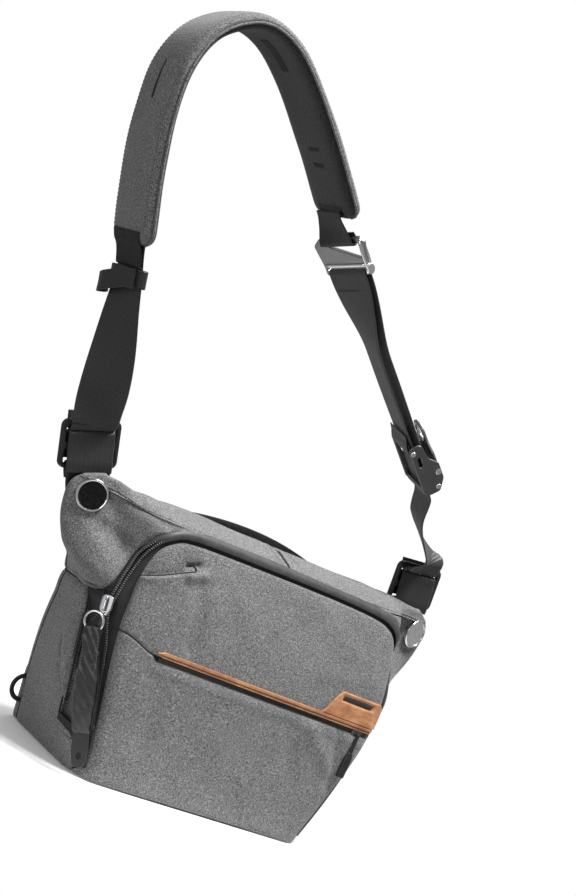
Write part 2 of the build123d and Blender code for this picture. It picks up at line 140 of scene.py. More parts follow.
def resample(line, pitch):
    """Points about `pitch` apart along a line, both ends kept."""
    line = np.asarray(line, float)
    length = np.concatenate([[0], np.linalg.norm(np.diff(line[:, :3], axis=0), axis=1).cumsum()])
    count = max(2, int(round(length[-1] / pitch)) + 1)
    at = np.linspace(0, length[-1], count)
    return np.stack([np.interp(at, length, line[:, k]) for k in range(line.shape[1])], 1)


def line_frames(line, across, closed=False):
    """Tangent, side and outward directions along a line, side nearest to `across`."""
    if closed:
        tangent = unit(np.roll(line, -1, 0) - np.roll(line, 1, 0))
    else:
        tangent = unit(np.gradient(line, axis=0))
    across = np.broadcast_to(np.asarray(across, float), line.shape)
    side = unit(across - tangent * (across * tangent).sum(1, keepdims=True))
    return tangent, side, np.cross(side, tangent)


def sweep(name, line, side, out, profile, closed=False):
    """A closed profile of (side, out) points swept along a line, capped or joined end to end."""
    profile = np.asarray(profile, float)
    if profile.ndim == 2:
        profile = np.broadcast_to(profile, (len(line),) + profile.shape)
    p = (line[:, None] + side[:, None] * profile[:, :, :1] + out[:, None] * profile[:, :, 1:])
    rows, cols = p.shape[:2]
    faces = grid_faces(rows, cols, wrap=True)
    if closed:
        last = (rows - 1) * cols
        faces += [(last + j, last + (j + 1) % cols, (j + 1) % cols, j) for j in range(cols)]
    else:
        faces += [tuple(range(cols))[::-1], tuple((rows - 1) * cols + j for j in range(cols))]
    steps = np.concatenate([[0], np.linalg.norm(np.diff(line, axis=0), axis=1).cumsum()])
    uv = np.stack([profile[:, :, 0], np.broadcast_to(steps[:, None], (rows, cols))], 2)
    return fix_normals(mesh_object(name, p.reshape(-1, 3), faces, uv.reshape(-1, 2)))


def fix_normals(obj):
    bm = bmesh.new()
    bm.from_mesh(obj.data)
    bmesh.ops.recalc_face_normals(bm, faces=bm.faces)
    bm.to_mesh(obj.data)
    bm.free()
    return obj


def tube(name, line, radius, across=(0, 0, 1), closed=False, sides=10, flat=1.0):
    line = np.asarray(line, float)
    _, side, out = line_frames(line, across, closed)
    turn = circle(sides)
    ring = np.stack([np.cos(turn) * radius, np.sin(turn) * radius * flat], 1)
    return sweep(name, line, side, out, ring, closed)


def strap_profile(width, thick, ribs=9, depth=0.1):
    """Cross-section of webbing, with ribs along it and rounded selvedges."""
    count = 8 * ribs + 1
    s = np.linspace(-1, 1, count)
    edge = np.sqrt(np.clip(1 - np.abs(s) ** 26, 0, 1)) * 0.97 + 0.03
    half = thick / 2 * edge - depth * (0.5 - 0.5 * np.cos(s * math.pi * ribs)) * edge
    top = np.stack([s * width / 2, half], 1)
    return np.concatenate([top, (top * [1, -1])[::-1]])


def webbing(name, line, across, width, thick, rib_pitch=1.7, depth=0.09, ribs=9):
    """Woven strap along a line, with shallow ribs across it."""
    line = resample(np.concatenate([line, across], 1), rib_pitch / 4)
    across = line[:, 3:]
    line = line[:, :3]
    _, side, out = line_frames(line, across)
    base = strap_profile(width, thick, ribs)
    wave = 1 - 2 * depth / thick * (0.5 + 0.5 * np.cos(np.arange(len(line)) * math.pi / 2))
    profile = base[None] * np.stack([np.ones_like(wave), wave], 1)[:, None]
    return sweep(name, line, side, out, profile)


def capsules(name, centres, along, out, length, radius):
    """Many small stitches as one mesh."""
    turn = circle(6)
    shape = []
    for at, size in ((-0.5, 0.35), (-0.36, 0.95), (0.0, 1.1), (0.36, 0.95), (0.5, 0.35)):
        for t in turn:
            shape.append((at * length, math.cos(t) * radius * size, math.sin(t) * radius * size))
    shape = np.array(shape)
    faces = grid_faces(5, 6, wrap=True) + [tuple(range(6))[::-1], tuple(range(24, 30))]
    along = unit(along)
    out = unit(out - along * (out * along).sum(1, keepdims=True))
    side = np.cross(out, along)
    points = (centres[:, None] + along[:, None] * shape[None, :, :1]
              + side[:, None] * shape[None, :, 1:2] + out[:, None] * shape[None, :, 2:])
    every = [tuple(k + 30 * i for k in face) for i in range(len(centres)) for face in faces]
    return fix_normals(mesh_object(name, points.reshape(-1, 3), every))


def stitch_line(name, line, out, pitch=2.6, length=1.9, radius=0.22, lift=0.0):
    line = resample(np.concatenate([line, np.broadcast_to(out, line.shape)], 1), pitch)
    along = np.diff(line[:, :3], axis=0)
    centres = (line[1:, :3] + line[:-1, :3]) / 2 + unit(line[1:, 3:]) * lift
    return capsules(name, centres, along, line[1:, 3:], length, radius)


def rounded(points, radii, steps=10):
    """A closed outline with its corners rounded, in 2-D."""
    points = np.asarray(points, float)
    out = []
    neighbours = zip(np.roll(points, 1, 0), points, np.roll(points, -1, 0), radii)
    for before, here, after, radius in neighbours:
        a, b = unit(before - here), unit(after - here)
        half = math.acos(np.clip(a @ b, -1, 1)) / 2
        reach = radius / math.tan(half)
        centre = here + unit(a + b) * radius / math.sin(half)
        start, end = here + a * reach - centre, here + b * reach - centre
        turn = math.atan2(start[0] * end[1] - start[1] * end[0], start @ end)
        for t in np.linspace(0, turn, steps):
            c, s = math.cos(t), math.sin(t)
            out.append(centre + [c * start[0] - s * start[1], s * start[0] + c * start[1]])
    return np.array(out)


def box_outline(width, height, radius, x=0.0, y=0.0):
    w, h = width / 2, height / 2
    corners = [(x - w, y - h), (x + w, y - h), (x + w, y + h), (x - w, y + h)]
    return rounded(corners, [radius] * 4, 6)


def ring_outline(radius, x=0.0, y=0.0, count=40):
    turn = circle(count)
    return np.stack([x + radius * np.cos(turn), y + radius * np.sin(turn)], 1)


def plane(origin, x_axis, y_axis):
    """Matrix of a local frame, in millimetres."""
    x_axis, y_axis = unit(x_axis), np.asarray(y_axis, float)
    y_axis = unit(y_axis - x_axis * (x_axis @ y_axis))
    m = np.eye(4)
    m[:3, 0], m[:3, 1], m[:3, 2], m[:3, 3] = x_axis, y_axis, np.cross(x_axis, y_axis), origin
    return m


def placed(m, points):
    points = np.asarray(points, float)
    return points @ m[:3, :3].T + m[:3, 3]


def plate(name, loops, thick, bevel, m, shift=0.0):
    """A flat plate with holes and rounded edges: the first loop is the outline."""
    curve = bpy.data.curves.new(name, "CURVE")
    curve.dimensions = "2D"
    curve.fill_mode = "BOTH"
    curve.extrude = (thick / 2 - bevel) * MM
    curve.bevel_depth = bevel * MM
    curve.bevel_resolution = 3
    curve.offset = -bevel * MM
    for loop in loops:
        spline = curve.splines.new("POLY")
        spline.points.add(len(loop) - 1)
        flat = np.zeros((len(loop), 4))
        flat[:, :2] = np.asarray(loop) * MM
        flat[:, 3] = 1
        spline.points.foreach_set("co", flat.ravel())
        spline.use_cyclic_u = True
    holder = bpy.data.objects.new(name, curve)
    scene.collection.objects.link(holder)
    bpy.context.view_layer.update()
    graph = bpy.context.evaluated_depsgraph_get()
    mesh = bpy.data.meshes.new_from_object(holder.evaluated_get(graph))
    bpy.data.objects.remove(holder)
    place = Matrix([list(row) for row in m])
    place.translation = place.translation * MM
    mesh.transform(Matrix.Translation((0, 0, shift * MM)))
    mesh.transform(place)
    mesh.name = name
    bm = bmesh.new()
    bm.from_mesh(mesh)
    bmesh.ops.remove_doubles(bm, verts=bm.verts, dist=1e-6)
    bmesh.ops.recalc_face_normals(bm, faces=bm.faces)
    bm.to_mesh(mesh)
    bm.free()
    return auto_smooth(new_object(name, mesh))


def auto_smooth(obj, angle=35):
    """Smooth shading with sharp edges kept sharp."""
    mesh = obj.data
    mesh.shade_smooth()
    bm = bmesh.new()
    bm.from_mesh(mesh)
    limit = math.radians(angle)
    for edge in bm.edges:
        edge.smooth = len(edge.link_faces) != 2 or edge.calc_face_angle(0) < limit
    bm.to_mesh(mesh)
    bm.free()
    return obj


def lathe(name, profile, m, count=64):
    """A round part: (radius, height) points turned about a frame's local z."""
    turn = circle(count)
    profile = np.asarray(profile, float)
    p = np.zeros((len(profile), count, 3))
    p[:, :, 0] = profile[:, :1] * np.cos(turn)
    p[:, :, 1] = profile[:, :1] * np.sin(turn)
    p[:, :, 2] = profile[:, 1:]
    faces = grid_faces(len(profile), count, wrap=True)
    faces += [tuple(range(count))[::-1], tuple((len(profile) - 1) * count + j for j in range(count))]
    return auto_smooth(fix_normals(mesh_object(name, placed(m, p.reshape(-1, 3)), faces)))


def finish_piece(obj, mat, body, replaces=()):
    """Material, body and what the piece stands for, whose parts are hidden, in one call."""
    obj.data.materials.clear()
    obj.data.materials.append(mat)
    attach(obj, body)
    if replaces:
        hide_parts(*replaces)
    return obj


# ---- materials ----------------------------------------------------------------------------
class Finish:
    """A node material, built with short calls."""

    def __init__(self, name, rough=0.7, metal=0.0, **sockets):
        self.mat = bpy.data.materials.new(name)
        self.mat.use_nodes = True
        self.tree = self.mat.node_tree
        self.shader = self.tree.nodes["Principled BSDF"]
        self.shader.inputs["Roughness"].default_value = rough
        self.shader.inputs["Metallic"].default_value = metal
        for key, value in sockets.items():
            self.shader.inputs[key.replace("_", " ")].default_value = value

    def node(self, kind, **inputs):
        node = self.tree.nodes.new(kind)
        for key, value in inputs.items():
            if hasattr(value, "links"):
                self.tree.links.new(value, node.inputs[key.replace("_", " ")])
            else:
                node.inputs[key.replace("_", " ")].default_value = value
        return node

    def place(self, woven=False, scale=(1, 1, 1), turn=0.0):
        """Where on the piece: along its weave, or in its own space."""
        if woven:
            where = self.tree.nodes.new("ShaderNodeUVMap")
            where.uv_map = "weave"
            start = where.outputs["UV"]
        else:
            start = self.tree.nodes.new("ShaderNodeTexCoord").outputs["Object"]
        return self.node("ShaderNodeMapping", Vector=start, Scale=scale,
                         Rotation=(0, 0, turn)).outputs["Vector"]

    def noise(self, where, size, detail=2.0, rough=0.5):
        """Noise with features about `size` metres across."""
        return self.node("ShaderNodeTexNoise", Vector=where, Scale=1 / size, Detail=detail,
                         Roughness=rough).outputs["Fac"]

    def cells(self, where, size):
        return self.node("ShaderNodeTexVoronoi", Vector=where, Scale=1 / size).outputs["Distance"]

    def sums(self, operation, a, b=0.0):
        node = self.tree.nodes.new("ShaderNodeMath")
        node.operation = operation
        for socket, value in zip(node.inputs, (a, b)):
            if hasattr(value, "links"):
                self.tree.links.new(value, socket)
            else:
                socket.default_value = value
        return node.outputs[0]

    def ramp(self, value, *stops):
        node = self.node("ShaderNodeValToRGB", Fac=value)
        ramp = node.color_ramp
        while len(ramp.elements) < len(stops):
            ramp.elements.new(0.5)
        for element, (at, colour) in zip(ramp.elements, stops):
            element.position = at
            element.color = (*colour, 1) if hasattr(colour, "__len__") else (colour,) * 3 + (1,)
        return node.outputs["Color"]

    def mix(self, share, a, b, kind="MIX"):
        node = self.tree.nodes.new("ShaderNodeMix")
        node.data_type = "RGBA"
        node.blend_type = kind
        for socket, value in zip((node.inputs[0], node.inputs[6], node.inputs[7]), (share, a, b)):
            if hasattr(value, "links"):
                self.tree.links.new(value, socket)
            elif hasattr(value, "__len__"):
                socket.default_value = (*value, 1)
            else:
                socket.default_value = value
        return node.outputs[2]

    def colour(self, value):
        self.tree.links.new(value, self.shader.inputs["Base Color"])

    def rough(self, value):
        self.tree.links.new(value, self.shader.inputs["Roughness"])

    def bump(self, *layers):
        """Layers of (height, strength, depth in millimetres)."""
        normal = None
        for height, strength, depth in layers:
            node = self.node("ShaderNodeBump", Height=height, Strength=strength, Distance=depth * MM)
            if normal is not None:
                self.tree.links.new(normal, node.inputs["Normal"])
            normal = node.outputs["Normal"]
        self.tree.links.new(normal, self.shader.inputs["Normal"])

    def weave(self, pitch, where=None):
        """Height of a plain weave of yarns `pitch` metres apart, from 0 to 1."""
        where = self.place() if where is None else where
        split = self.node("ShaderNodeSeparateXYZ", Vector=where)
        total = None
        for socket in split.outputs:
            turn = self.sums("MULTIPLY", socket, 2 * math.pi / pitch)
            wave = self.sums("SINE", turn)
            total = wave if total is None else self.sums("ADD", total, wave)
        return self.sums("MULTIPLY", total, 0.25)


def shade(value):
    """A grey of the given screen brightness, 0 to 255, as a linear colour."""
    c = value / 255
    return (c / 12.92 if c < 0.04 else ((c + 0.055) / 1.055) ** 2.4,) * 3


def tint(r, g, b):
    return tuple(shade(v)[0] for v in (r, g, b))


def woven_fabric(name, dark, middle, light, pitch=0.00085, sheen=0.15):
    """Melange fabric: yarns of mixed grey fibres in a fine weave, slightly uneven overall."""
    f = Finish(name, rough=0.88, Sheen_Weight=sheen, Sheen_Roughness=0.45, Specular_IOR_Level=0.3)
    here = f.place()
    across = f.noise(f.place(scale=(0.25, 0.4, 1.0)), 0.0004, 2, 0.5)
    along = f.noise(f.place(scale=(1.0, 1.0, 0.25)), 0.0004, 2, 0.5)
    fibres = f.mix(0.5, across, along)
    grey = f.ramp(fibres, (0.36, shade(dark)), (0.5, shade(middle)), (0.64, shade(light)))
    cloudy = f.ramp(f.noise(here, 0.022, 3), (0.3, 0.88), (0.7, 1.0))
    f.colour(f.mix(1.0, grey, cloudy, "MULTIPLY"))
    f.bump((f.weave(pitch), 0.35, 0.25), (fibres, 0.4, 0.2), (f.noise(here, 0.011, 2), 0.25, 0.8))
    return f.mat


def ribbed_webbing(name, dark, light, rib=0.0017, rough=0.62, sheen=0.1):
    """Nylon webbing: ribs across it and yarns along it."""
    f = Finish(name, rough=rough, Sheen_Weight=sheen, Specular_IOR_Level=0.45)
    woven = f.place(woven=True)
    split = f.node("ShaderNodeSeparateXYZ", Vector=woven)
    ribs = f.sums("SINE", f.sums("MULTIPLY", split.outputs[1], 2 * math.pi / rib))
    yarns = f.sums("SINE", f.sums("MULTIPLY", split.outputs[0], 2 * math.pi / 0.0011))
    cloth = f.sums("ADD", f.sums("MULTIPLY", ribs, 0.3), f.sums("MULTIPLY", yarns, 0.3))
    grain = f.noise(f.place(woven=True, scale=(1, 0.4, 1)), 0.0008, 2)
    height = f.sums("ADD", cloth, grain)
    f.colour(f.ramp(height, (0.0, shade(dark)), (1.0, shade(light))))
    f.bump((height, 0.5, 0.22))
    return f.mat


def smooth_polymer(name, value, rough=0.38, grain=0.12, scratch=0.3):
    """Moulded polymer or coated metal with a fine grain and handling marks."""
    f = Finish(name, rough=rough, Specular_IOR_Level=0.5)
    here = f.place()
    fine = f.noise(here, 0.0007, 3)
    marks = f.noise(f.place(scale=(0.2, 1, 1)), 0.004, 4, 0.7)
    f.colour(f.ramp(marks, (0.35, shade(value)), (0.8, shade(value + 16))))
    f.rough(f.ramp(marks, (0.3, rough), (0.75, rough + scratch * 0.5)))
    f.bump((fine, grain, 0.12))
    return f.mat


def metal(name, colour, rough=0.25, brushed=(1, 1, 0.06)):
    """Bare or plated metal, brushed one way, with faint wear."""
    f = Finish(name, rough=rough, metal=1.0)
    grain = f.noise(f.place(scale=brushed), 0.0006, 3)
    wear = f.noise(f.place(), 0.006, 4, 0.65)
    f.colour(f.mix(f.ramp(wear, (0.35, 0.0), (0.75, 0.35)), colour, [c * 0.72 for c in colour]))
    f.rough(f.ramp(grain, (0.3, max(rough - 0.07, 0.04)), (0.7, rough + 0.12)))
    f.bump((grain, 0.12, 0.05))
    return f.mat


def leather(name, dark, light):
    """Vegetable-tanned leather with pores, creases and darker patches."""
    f = Finish(name, rough=0.5, Specular_IOR_Level=0.45, Coat_Weight=0.08, Coat_Roughness=0.4)
    here = f.place()
    pores = f.cells(here, 0.0009)
    creases = f.noise(f.place(scale=(0.3, 1, 1)), 0.0032, 5, 0.65)
    patches = f.noise(here, 0.016, 3)
    tan = f.mix(f.ramp(patches, (0.35, 0.0), (0.7, 1.0)), dark, light)
    f.colour(f.mix(f.ramp(creases, (0.4, 0.55), (0.62, 0.0)), tan, [c * 0.6 for c in dark]))
    f.rough(f.ramp(creases, (0.35, 0.62), (0.65, 0.42)))
    f.bump((pores, 0.3, 0.12), (creases, 0.35, 0.3))
    return f.mat


def knit(name, dark, light):
    """Close knit of the pad's underside: small rows of loops."""
    f = Finish(name, rough=0.92, Sheen_Weight=0.25)
    loops = f.cells(f.place(woven=True, scale=(1, 0.7, 1)), 0.0013)
    f.colour(f.ramp(loops, (0.1, shade(light)), (0.6, shade(dark))))
    f.bump((f.sums("SUBTRACT", 1.0, loops), 0.5, 0.35))
    return f.mat


def coated_tape(name, dark, light, rough=0.5):
    """Smooth water-resistant tape: matt film over a tight twill."""
    f = Finish(name, rough=rough, Specular_IOR_Level=0.4)
    twill = f.weave(0.0007, f.place(turn=0.7))
    cloudy = f.noise(f.place(), 0.008, 3)
    f.colour(f.ramp(cloudy, (0.3, shade(dark)), (0.7, shade(light))))
    f.bump((twill, 0.2, 0.12), (cloudy, 0.25, 0.5))
    return f.mat


def glossy_film(name, dark, light):
    """Crumpled film-faced ribbon: fine creases in the bump, their ridges coloured lighter as a painted highlight.
    """
    f = Finish(name, rough=0.36, Specular_IOR_Level=0.4, Coat_Weight=0.55, Coat_Roughness=0.18)
    here = f.place()
    creases = f.noise(here, 0.0075, 2, 0.5)
    cells = f.cells(here, 0.0068)
    height = f.sums("ADD", creases, f.sums("MULTIPLY", cells, 0.5))
    # painted highlight: the colour runs from dark in the crease hollows to light on the ridges
    f.colour(f.ramp(creases, (0.42, shade(dark)), (0.66, shade(light))))
    f.rough(f.ramp(cells, (0.1, 0.3), (0.7, 0.5)))
    f.bump((height, 0.8, 1.6))
    return f.mat


def spun_metal(name, value, m):
    """Disc face: fine rings about its own centre."""
    f = Finish(name, rough=0.28, metal=1.0)
    f.shader.inputs["Anisotropic"].default_value = 0.6
    centre = [c * MM for c in m[:3, 3]]
    here = f.tree.nodes.new("ShaderNodeTexCoord").outputs["Object"]
    away = f.node("ShaderNodeVectorMath")
    away.operation = "DISTANCE"
    f.tree.links.new(here, away.inputs[0])
    away.inputs[1].default_value = centre
    rings = f.sums("SINE", f.sums("MULTIPLY", away.outputs["Value"], 2 * math.pi / 0.00045))
    wear = f.noise(here, 0.003, 3)
    f.colour(f.ramp(wear, (0.3, shade(value)), (0.75, shade(value + 14))))
    f.rough(f.ramp(wear, (0.3, 0.22), (0.7, 0.36)))
    f.bump((rings, 0.25, 0.04))
    return f.mat


FABRIC = woven_fabric("heather_fabric", 54, 106, 160)
DARK_FABRIC = woven_fabric("dark_texture_fabric", 30, 62, 108, pitch=0.0012)
LINING = woven_fabric("lining_fabric", 60, 84, 104, pitch=0.0006, sheen=0.05)
DIVIDER = woven_fabric("divider_felt", 58, 76, 94, pitch=0.0011, sheen=0.3)
BAND = coated_tape("zip_cover_film", 56, 72)
TAPE = coated_tape("zip_tape_weave", 20, 30, rough=0.62)
INNER_TAPE = ribbed_webbing("recess_tape", 18, 40, rib=0.0012)
TEETH = smooth_polymer("zip_teeth_polymer", 74, rough=0.32)
RIBBED = ribbed_webbing("strap_webbing", 26, 54)
SEATBELT = ribbed_webbing("belt_webbing", 42, 68, rib=0.0010, rough=0.5)
TAB_MAT = ribbed_webbing("tab_webbing", 20, 32, rib=0.0006, rough=0.45)
# the pull's film: its lighter tone is a painted highlight on the crease ridges
FILM = glossy_film("pull_film", 12, 30)
BUCKLE = smooth_polymer("buckle_black", 20, rough=0.42)
CHROME = metal("chrome_ring", (0.86, 0.87, 0.88), 0.12)
NICKEL = metal("dark_nickel", (0.3, 0.3, 0.31), 0.18)
STEEL = metal("brushed_steel", (0.62, 0.63, 0.64), 0.3)
ALUMINIUM = metal("hook_aluminium", (0.34, 0.34, 0.34), 0.36, (0.06, 1, 1))
GUNMETAL = metal("cam_gunmetal", (0.16, 0.16, 0.165), 0.4)
LEATHER = leather("tan_leather", tint(166, 110, 74), tint(208, 156, 112))
KNIT = knit("pad_knit", 26, 48)
SEAM = coated_tape("seam_shadow", 26, 36, rough=0.85)
THREAD = ribbed_webbing("grey_thread", 74, 110, rib=0.0005)
DARK_THREAD = ribbed_webbing("dark_thread", 20, 40, rib=0.0005)


# ---- the bag's surface --------------------------------------------------------------------
# Six corners of the right half at each height: front, front of the wing root, front and back
# of the side or wing tip, back of the wing root, back.
SECTIONS = [
    (0, [(96, -65), (105, -57), (110, -46), (110, 48), (105, 58), (96, 65)]),
    (40, [(108, -67), (116, -58), (121, -46), (121, 44), (116, 53), (106, 60)]),
    (80, [(117, -68), (126, -58), (131, -44), (131, 36), (125, 46), (113, 54)]),
    (125, [(122, -64), (135, -51), (142, -34), (142, 22), (132, 34), (114, 43)]),
    (150, [(122, -59), (140, -32), (170, -9), (170, -2), (140, 2), (116, 34)]),
    (172, [(121, -53), (140, -16.9), (180, -6.2), (180, 0.7), (140, -10), (117, 27)]),
    (186, [(120, -49), (140, -17), (182, -5.7), (182, 1.3), (140, -10), (118, 22)]),
    (197, [(118, -43), (140, -16), (177, -7), (177, -1.5), (140, -9.6), (117, 17)]),
    (204, [(112, -18), (140, -14.5), (162, -10.5), (162, -6), (140, -9.3), (112, 6)]),
]
LININGS = [
    (5, [(91, -60), (99, -53), (103, -44), (103, 45), (99, 54), (91, 59)]),
    (40, [(103, -62), (110, -55), (115, -44), (115, 41), (110, 48), (101, 54)]),
    (80, [(112, -63), (120, -54), (125, -42), (125, 33), (119, 41), (108, 48)]),
    (125, [(117, -59), (127, -48), (133, -32), (133, 19), (126, 29), (109, 37)]),
    (150, [(115, -54), (124, -36), (129, -22), (129, -4), (124, 6), (108, 28)]),
    (186, [(112, -44), (121, -28), (126, -20), (126, -14), (121, -6), (108, 15)]),
    (196, [(106, -36), (116, -26), (120, -20), (120, -15), (116, -8), (104, 10)]),
]
CORNER_REACH = (13, 12, 15, 15, 12, 16)
# Share of the way round at each end of a straight run or rounded corner, front to back.
KNOTS = [0, 0.30, 0.36, 0.39, 0.43, 0.48, 0.51, 0.55, 0.58, 0.61, 0.64, 0.67, 0.70, 1.0]
SHARES = np.linspace(0, 1, 601)
JOIN_Z, TOP_Z = 197.2, 204.0
BACK_SHARE, REAR_SEAM = 0.685, 0.56
CROWN_ROW = 180            # the walls are evened out from this row up


def smooth_between(at, xs, values):
    """Values between rows, smooth and without overshoot."""
    xs, values = np.asarray(xs, float), np.asarray(values, float)
    slope = np.diff(values, axis=0) / np.diff(xs)[:, None]
    product = slope[:-1] * slope[1:]
    mean = 2 * product / np.where(product > 0, slope[:-1] + slope[1:], 1)
    tangent = np.concatenate([slope[:1], np.where(product > 0, mean, 0), slope[-1:]])
    k = np.clip(np.searchsorted(xs, at, side="right") - 1, 0, len(xs) - 2)
    h = (xs[k + 1] - xs[k])[:, None]
    t = ((at - xs[k])[:, None]) / h
    return (values[k] * (1 + 2 * t) * (1 - t) ** 2 + tangent[k] * h * t * (1 - t) ** 2
            + values[k + 1] * t * t * (3 - 2 * t) + tangent[k + 1] * h * t * t * (t - 1))


def half_ring(corners):
    """Points from the middle of the front round the right side to the middle of the back."""
    corners = np.concatenate([[[0, corners[0, 1]]], corners, [[0, corners[-1, 1]]]])
    runs = np.linalg.norm(np.diff(corners, axis=0), axis=1)
    points = [corners[0]]
    for k in range(1, 7):
        reach = min(CORNER_REACH[k - 1], 0.45 * runs[k - 1], 0.45 * runs[k])
        points.append(corners[k] + unit(corners[k - 1] - corners[k]) * reach)
        points.append(corners[k] + unit(corners[k + 1] - corners[k]) * reach)
    points = np.array(points + [corners[-1]])
    out = np.stack([np.interp(SHARES, KNOTS, points[:, i]) for i in range(2)], 1)
    for k in range(1, 7):
        low, high = KNOTS[2 * k - 1], KNOTS[2 * k]
        inside = (SHARES > low) & (SHARES < high)
        t = ((SHARES[inside] - low) / (high - low))[:, None]
        a, b = points[2 * k - 1], points[2 * k]
        out[inside] = a * (1 - t) ** 2 + 2 * corners[k] * t * (1 - t) + b * t * t
    return out


def smooth_rows(p, passes):
    """Even out rows in place, with the first and last row kept."""
    for _ in range(passes):
        p[1:-1] = (p[:-2] + 2 * p[1:-1] + p[2:]) / 4
    return p


class Wall:
    """A closed wall through sections, addressed by share of the way round and height."""

    def __init__(self, sections):
        self.low, self.high = sections[0][0], sections[-1][0]
        heights = np.arange(self.low, self.high + 1, dtype=float)
        flat = np.array([np.ravel(corners) for _, corners in sections], float)
        rows = smooth_between(heights, [z for z, _ in sections], flat).reshape(-1, 6, 2)
        self.table = np.array([half_ring(row) for row in rows])
        smooth_rows(self.table[CROWN_ROW:], 14)

    def at(self, share, z):
        share, z = np.broadcast_arrays(np.asarray(share, float), np.asarray(z, float))
        u = np.clip(np.abs(share), 0, 1) * (len(SHARES) - 1)
        v = np.clip(z - self.low, 0, len(self.table) - 1)
        i = np.minimum(u.astype(int), len(SHARES) - 2)
        j = np.minimum(v.astype(int), len(self.table) - 2)
        fu, fv = (u - i)[..., None], (v - j)[..., None]
        t = self.table
        below = t[j, i] * (1 - fu) + t[j, i + 1] * fu
        above = t[j + 1, i] * (1 - fu) + t[j + 1, i + 1] * fu
        xy = below * (1 - fv) + above * fv
        return np.stack([np.where(share < 0, -1.0, 1.0) * xy[..., 0], xy[..., 1], z], -1)

    def share_at(self, x, z):
        """Share of the way round of a point of the front half, from its x and height."""
        x, z = np.broadcast_arrays(np.asarray(x, float), np.asarray(z, float))
        front = int(0.52 * (len(SHARES) - 1))
        out = np.empty(x.shape)
        for k in np.ndindex(x.shape):
            v = min(max(z[k] - self.low, 0), len(self.table) - 1.001)
            j = int(v)
            row = self.table[j, :front, 0] * (1 - v + j) + self.table[j + 1, :front, 0] * (v - j)
            out[k] = np.interp(abs(x[k]), np.maximum.accumulate(row), SHARES[:front])
        return np.where(x < 0, -out, out)

    def normal(self, share, z):
        across = self.at(share + 0.004, z) - self.at(share - 0.004, z)
        up = self.at(share, np.minimum(z + 2, self.high)) - self.at(share, np.maximum(z - 2, self.low))
        return unit(np.cross(across, up))


OUTER, INNER = Wall(SECTIONS), Wall(LININGS)

# Outlines in the front view, (x, z), from the lower left corner over the top to the lower
# right: the flap's edge, the zip's teeth, the tape's outer edge.  Their points match up.
FLAP_EDGE = [(-104, 8), (-108, 24), (-113, 44), (-122, 78), (-127, 105), (-128.3, 128), (-125.8, 152),
             (-120, 170), (-110, 179.8), (-93, 185.2), (-40, 187.4), (40, 188.9), (90, 188.2), (110, 184),
             (122, 174), (127.5, 158), (128.3, 130), (128, 105), (122, 75), (113, 44), (108, 24), (104, 8)]
TEETH_LINE = [(-106, 6), (-110, 23.5), (-117, 43), (-127, 77), (-133.5, 104), (-135.6, 126), (-131, 150),
              (-124.4, 170), (-114.5, 182), (-94, 189), (-40, 191.2), (40, 192.6), (92, 191.8), (112, 188),
              (126, 176.5), (131.5, 159), (132.3, 130), (132, 105), (126, 75), (116, 44), (110, 24), (106, 6)]
TAPE_EDGE = [(-107.4, 4.9), (-114, 22.5), (-133, 42), (-143, 74), (-146.5, 102), (-143, 122), (-135, 147),
             (-128.2, 168.5), (-118, 183.5), (-94, 192.7), (-40, 195.5), (40, 195.9), (94, 195.6),
             (114.5, 191.5), (130, 179), (135.5, 160), (136.3, 130), (136, 105), (129.5, 75), (119, 44),
             (112.6, 24), (108, 4.9)]


FLAP_PATH, TEETH_PATH, TAPE_PATH = (catmull(points, 16) for points in (FLAP_EDGE, TEETH_LINE, TAPE_EDGE))


def branch(path, side):
    """Half of an outline from the bottom to the top, on the left (-1) or right (1)."""
    half = path[path[:, 0] * side > 0]
    return half if side < 0 else half[::-1]


def branch_x(path, side, z):
    half = branch(path, side)
    keep = np.concatenate([[True], np.diff(half[:, 1]) > 1e-6])
    return np.interp(z, half[keep, 1], half[keep, 0])


def distance_to(path, x, z):
    """Distance in the front view from points to a line."""
    shape = np.shape(x)
    x, z = np.ravel(x), np.ravel(z)
    best = np.full(x.shape, 1e9)
    for p, q in zip(path[:-1], path[1:]):
        d = q - p
        t = np.clip(((x - p[0]) * d[0] + (z - p[1]) * d[1]) / max(d @ d, 1e-9), 0, 1)
        best = np.minimum(best, np.hypot(x - p[0] - t * d[0], z - p[1] - t * d[1]))
    return best.reshape(shape)


def roll(distance, radius):
    """How far a rolled edge of that radius turns down, by distance from the edge."""
    d = np.clip(distance, 0, radius)
    return radius - np.sqrt(radius ** 2 - (radius - d) ** 2)


def step(x, low, high):
    t = np.clip((x - low) / (high - low), 0, 1)
    return t * t * (3 - 2 * t)


def fold(x, z, start, end, width, height):
    """A soft ridge or crease between two points of the front view, fading at its ends."""
    start, end = np.asarray(start, float), np.asarray(end, float)
    d = end - start
    length = math.hypot(*d)
    d = d / length
    along = ((x - start[0]) * d[0] + (z - start[1]) * d[1]) / length
    off = (z - start[1]) * d[0] - (x - start[0]) * d[1]
    fade = np.exp(-np.clip(np.abs(along - 0.5) - 0.5, 0, None) ** 2 * (length / width / 1.4) ** 2)
    return height * fade * np.exp(-(off / width) ** 2) * step(along + 0.25, 0, 0.3)


def folds(x, z, table):
    """The sum of several folds: (start, end, width, height) each."""
    return sum(fold(x, z, *row) for row in table)


# ---- fabric shape -------------------------------------------------------------------------
DART = ((-127, 149.5), (-86, 167))
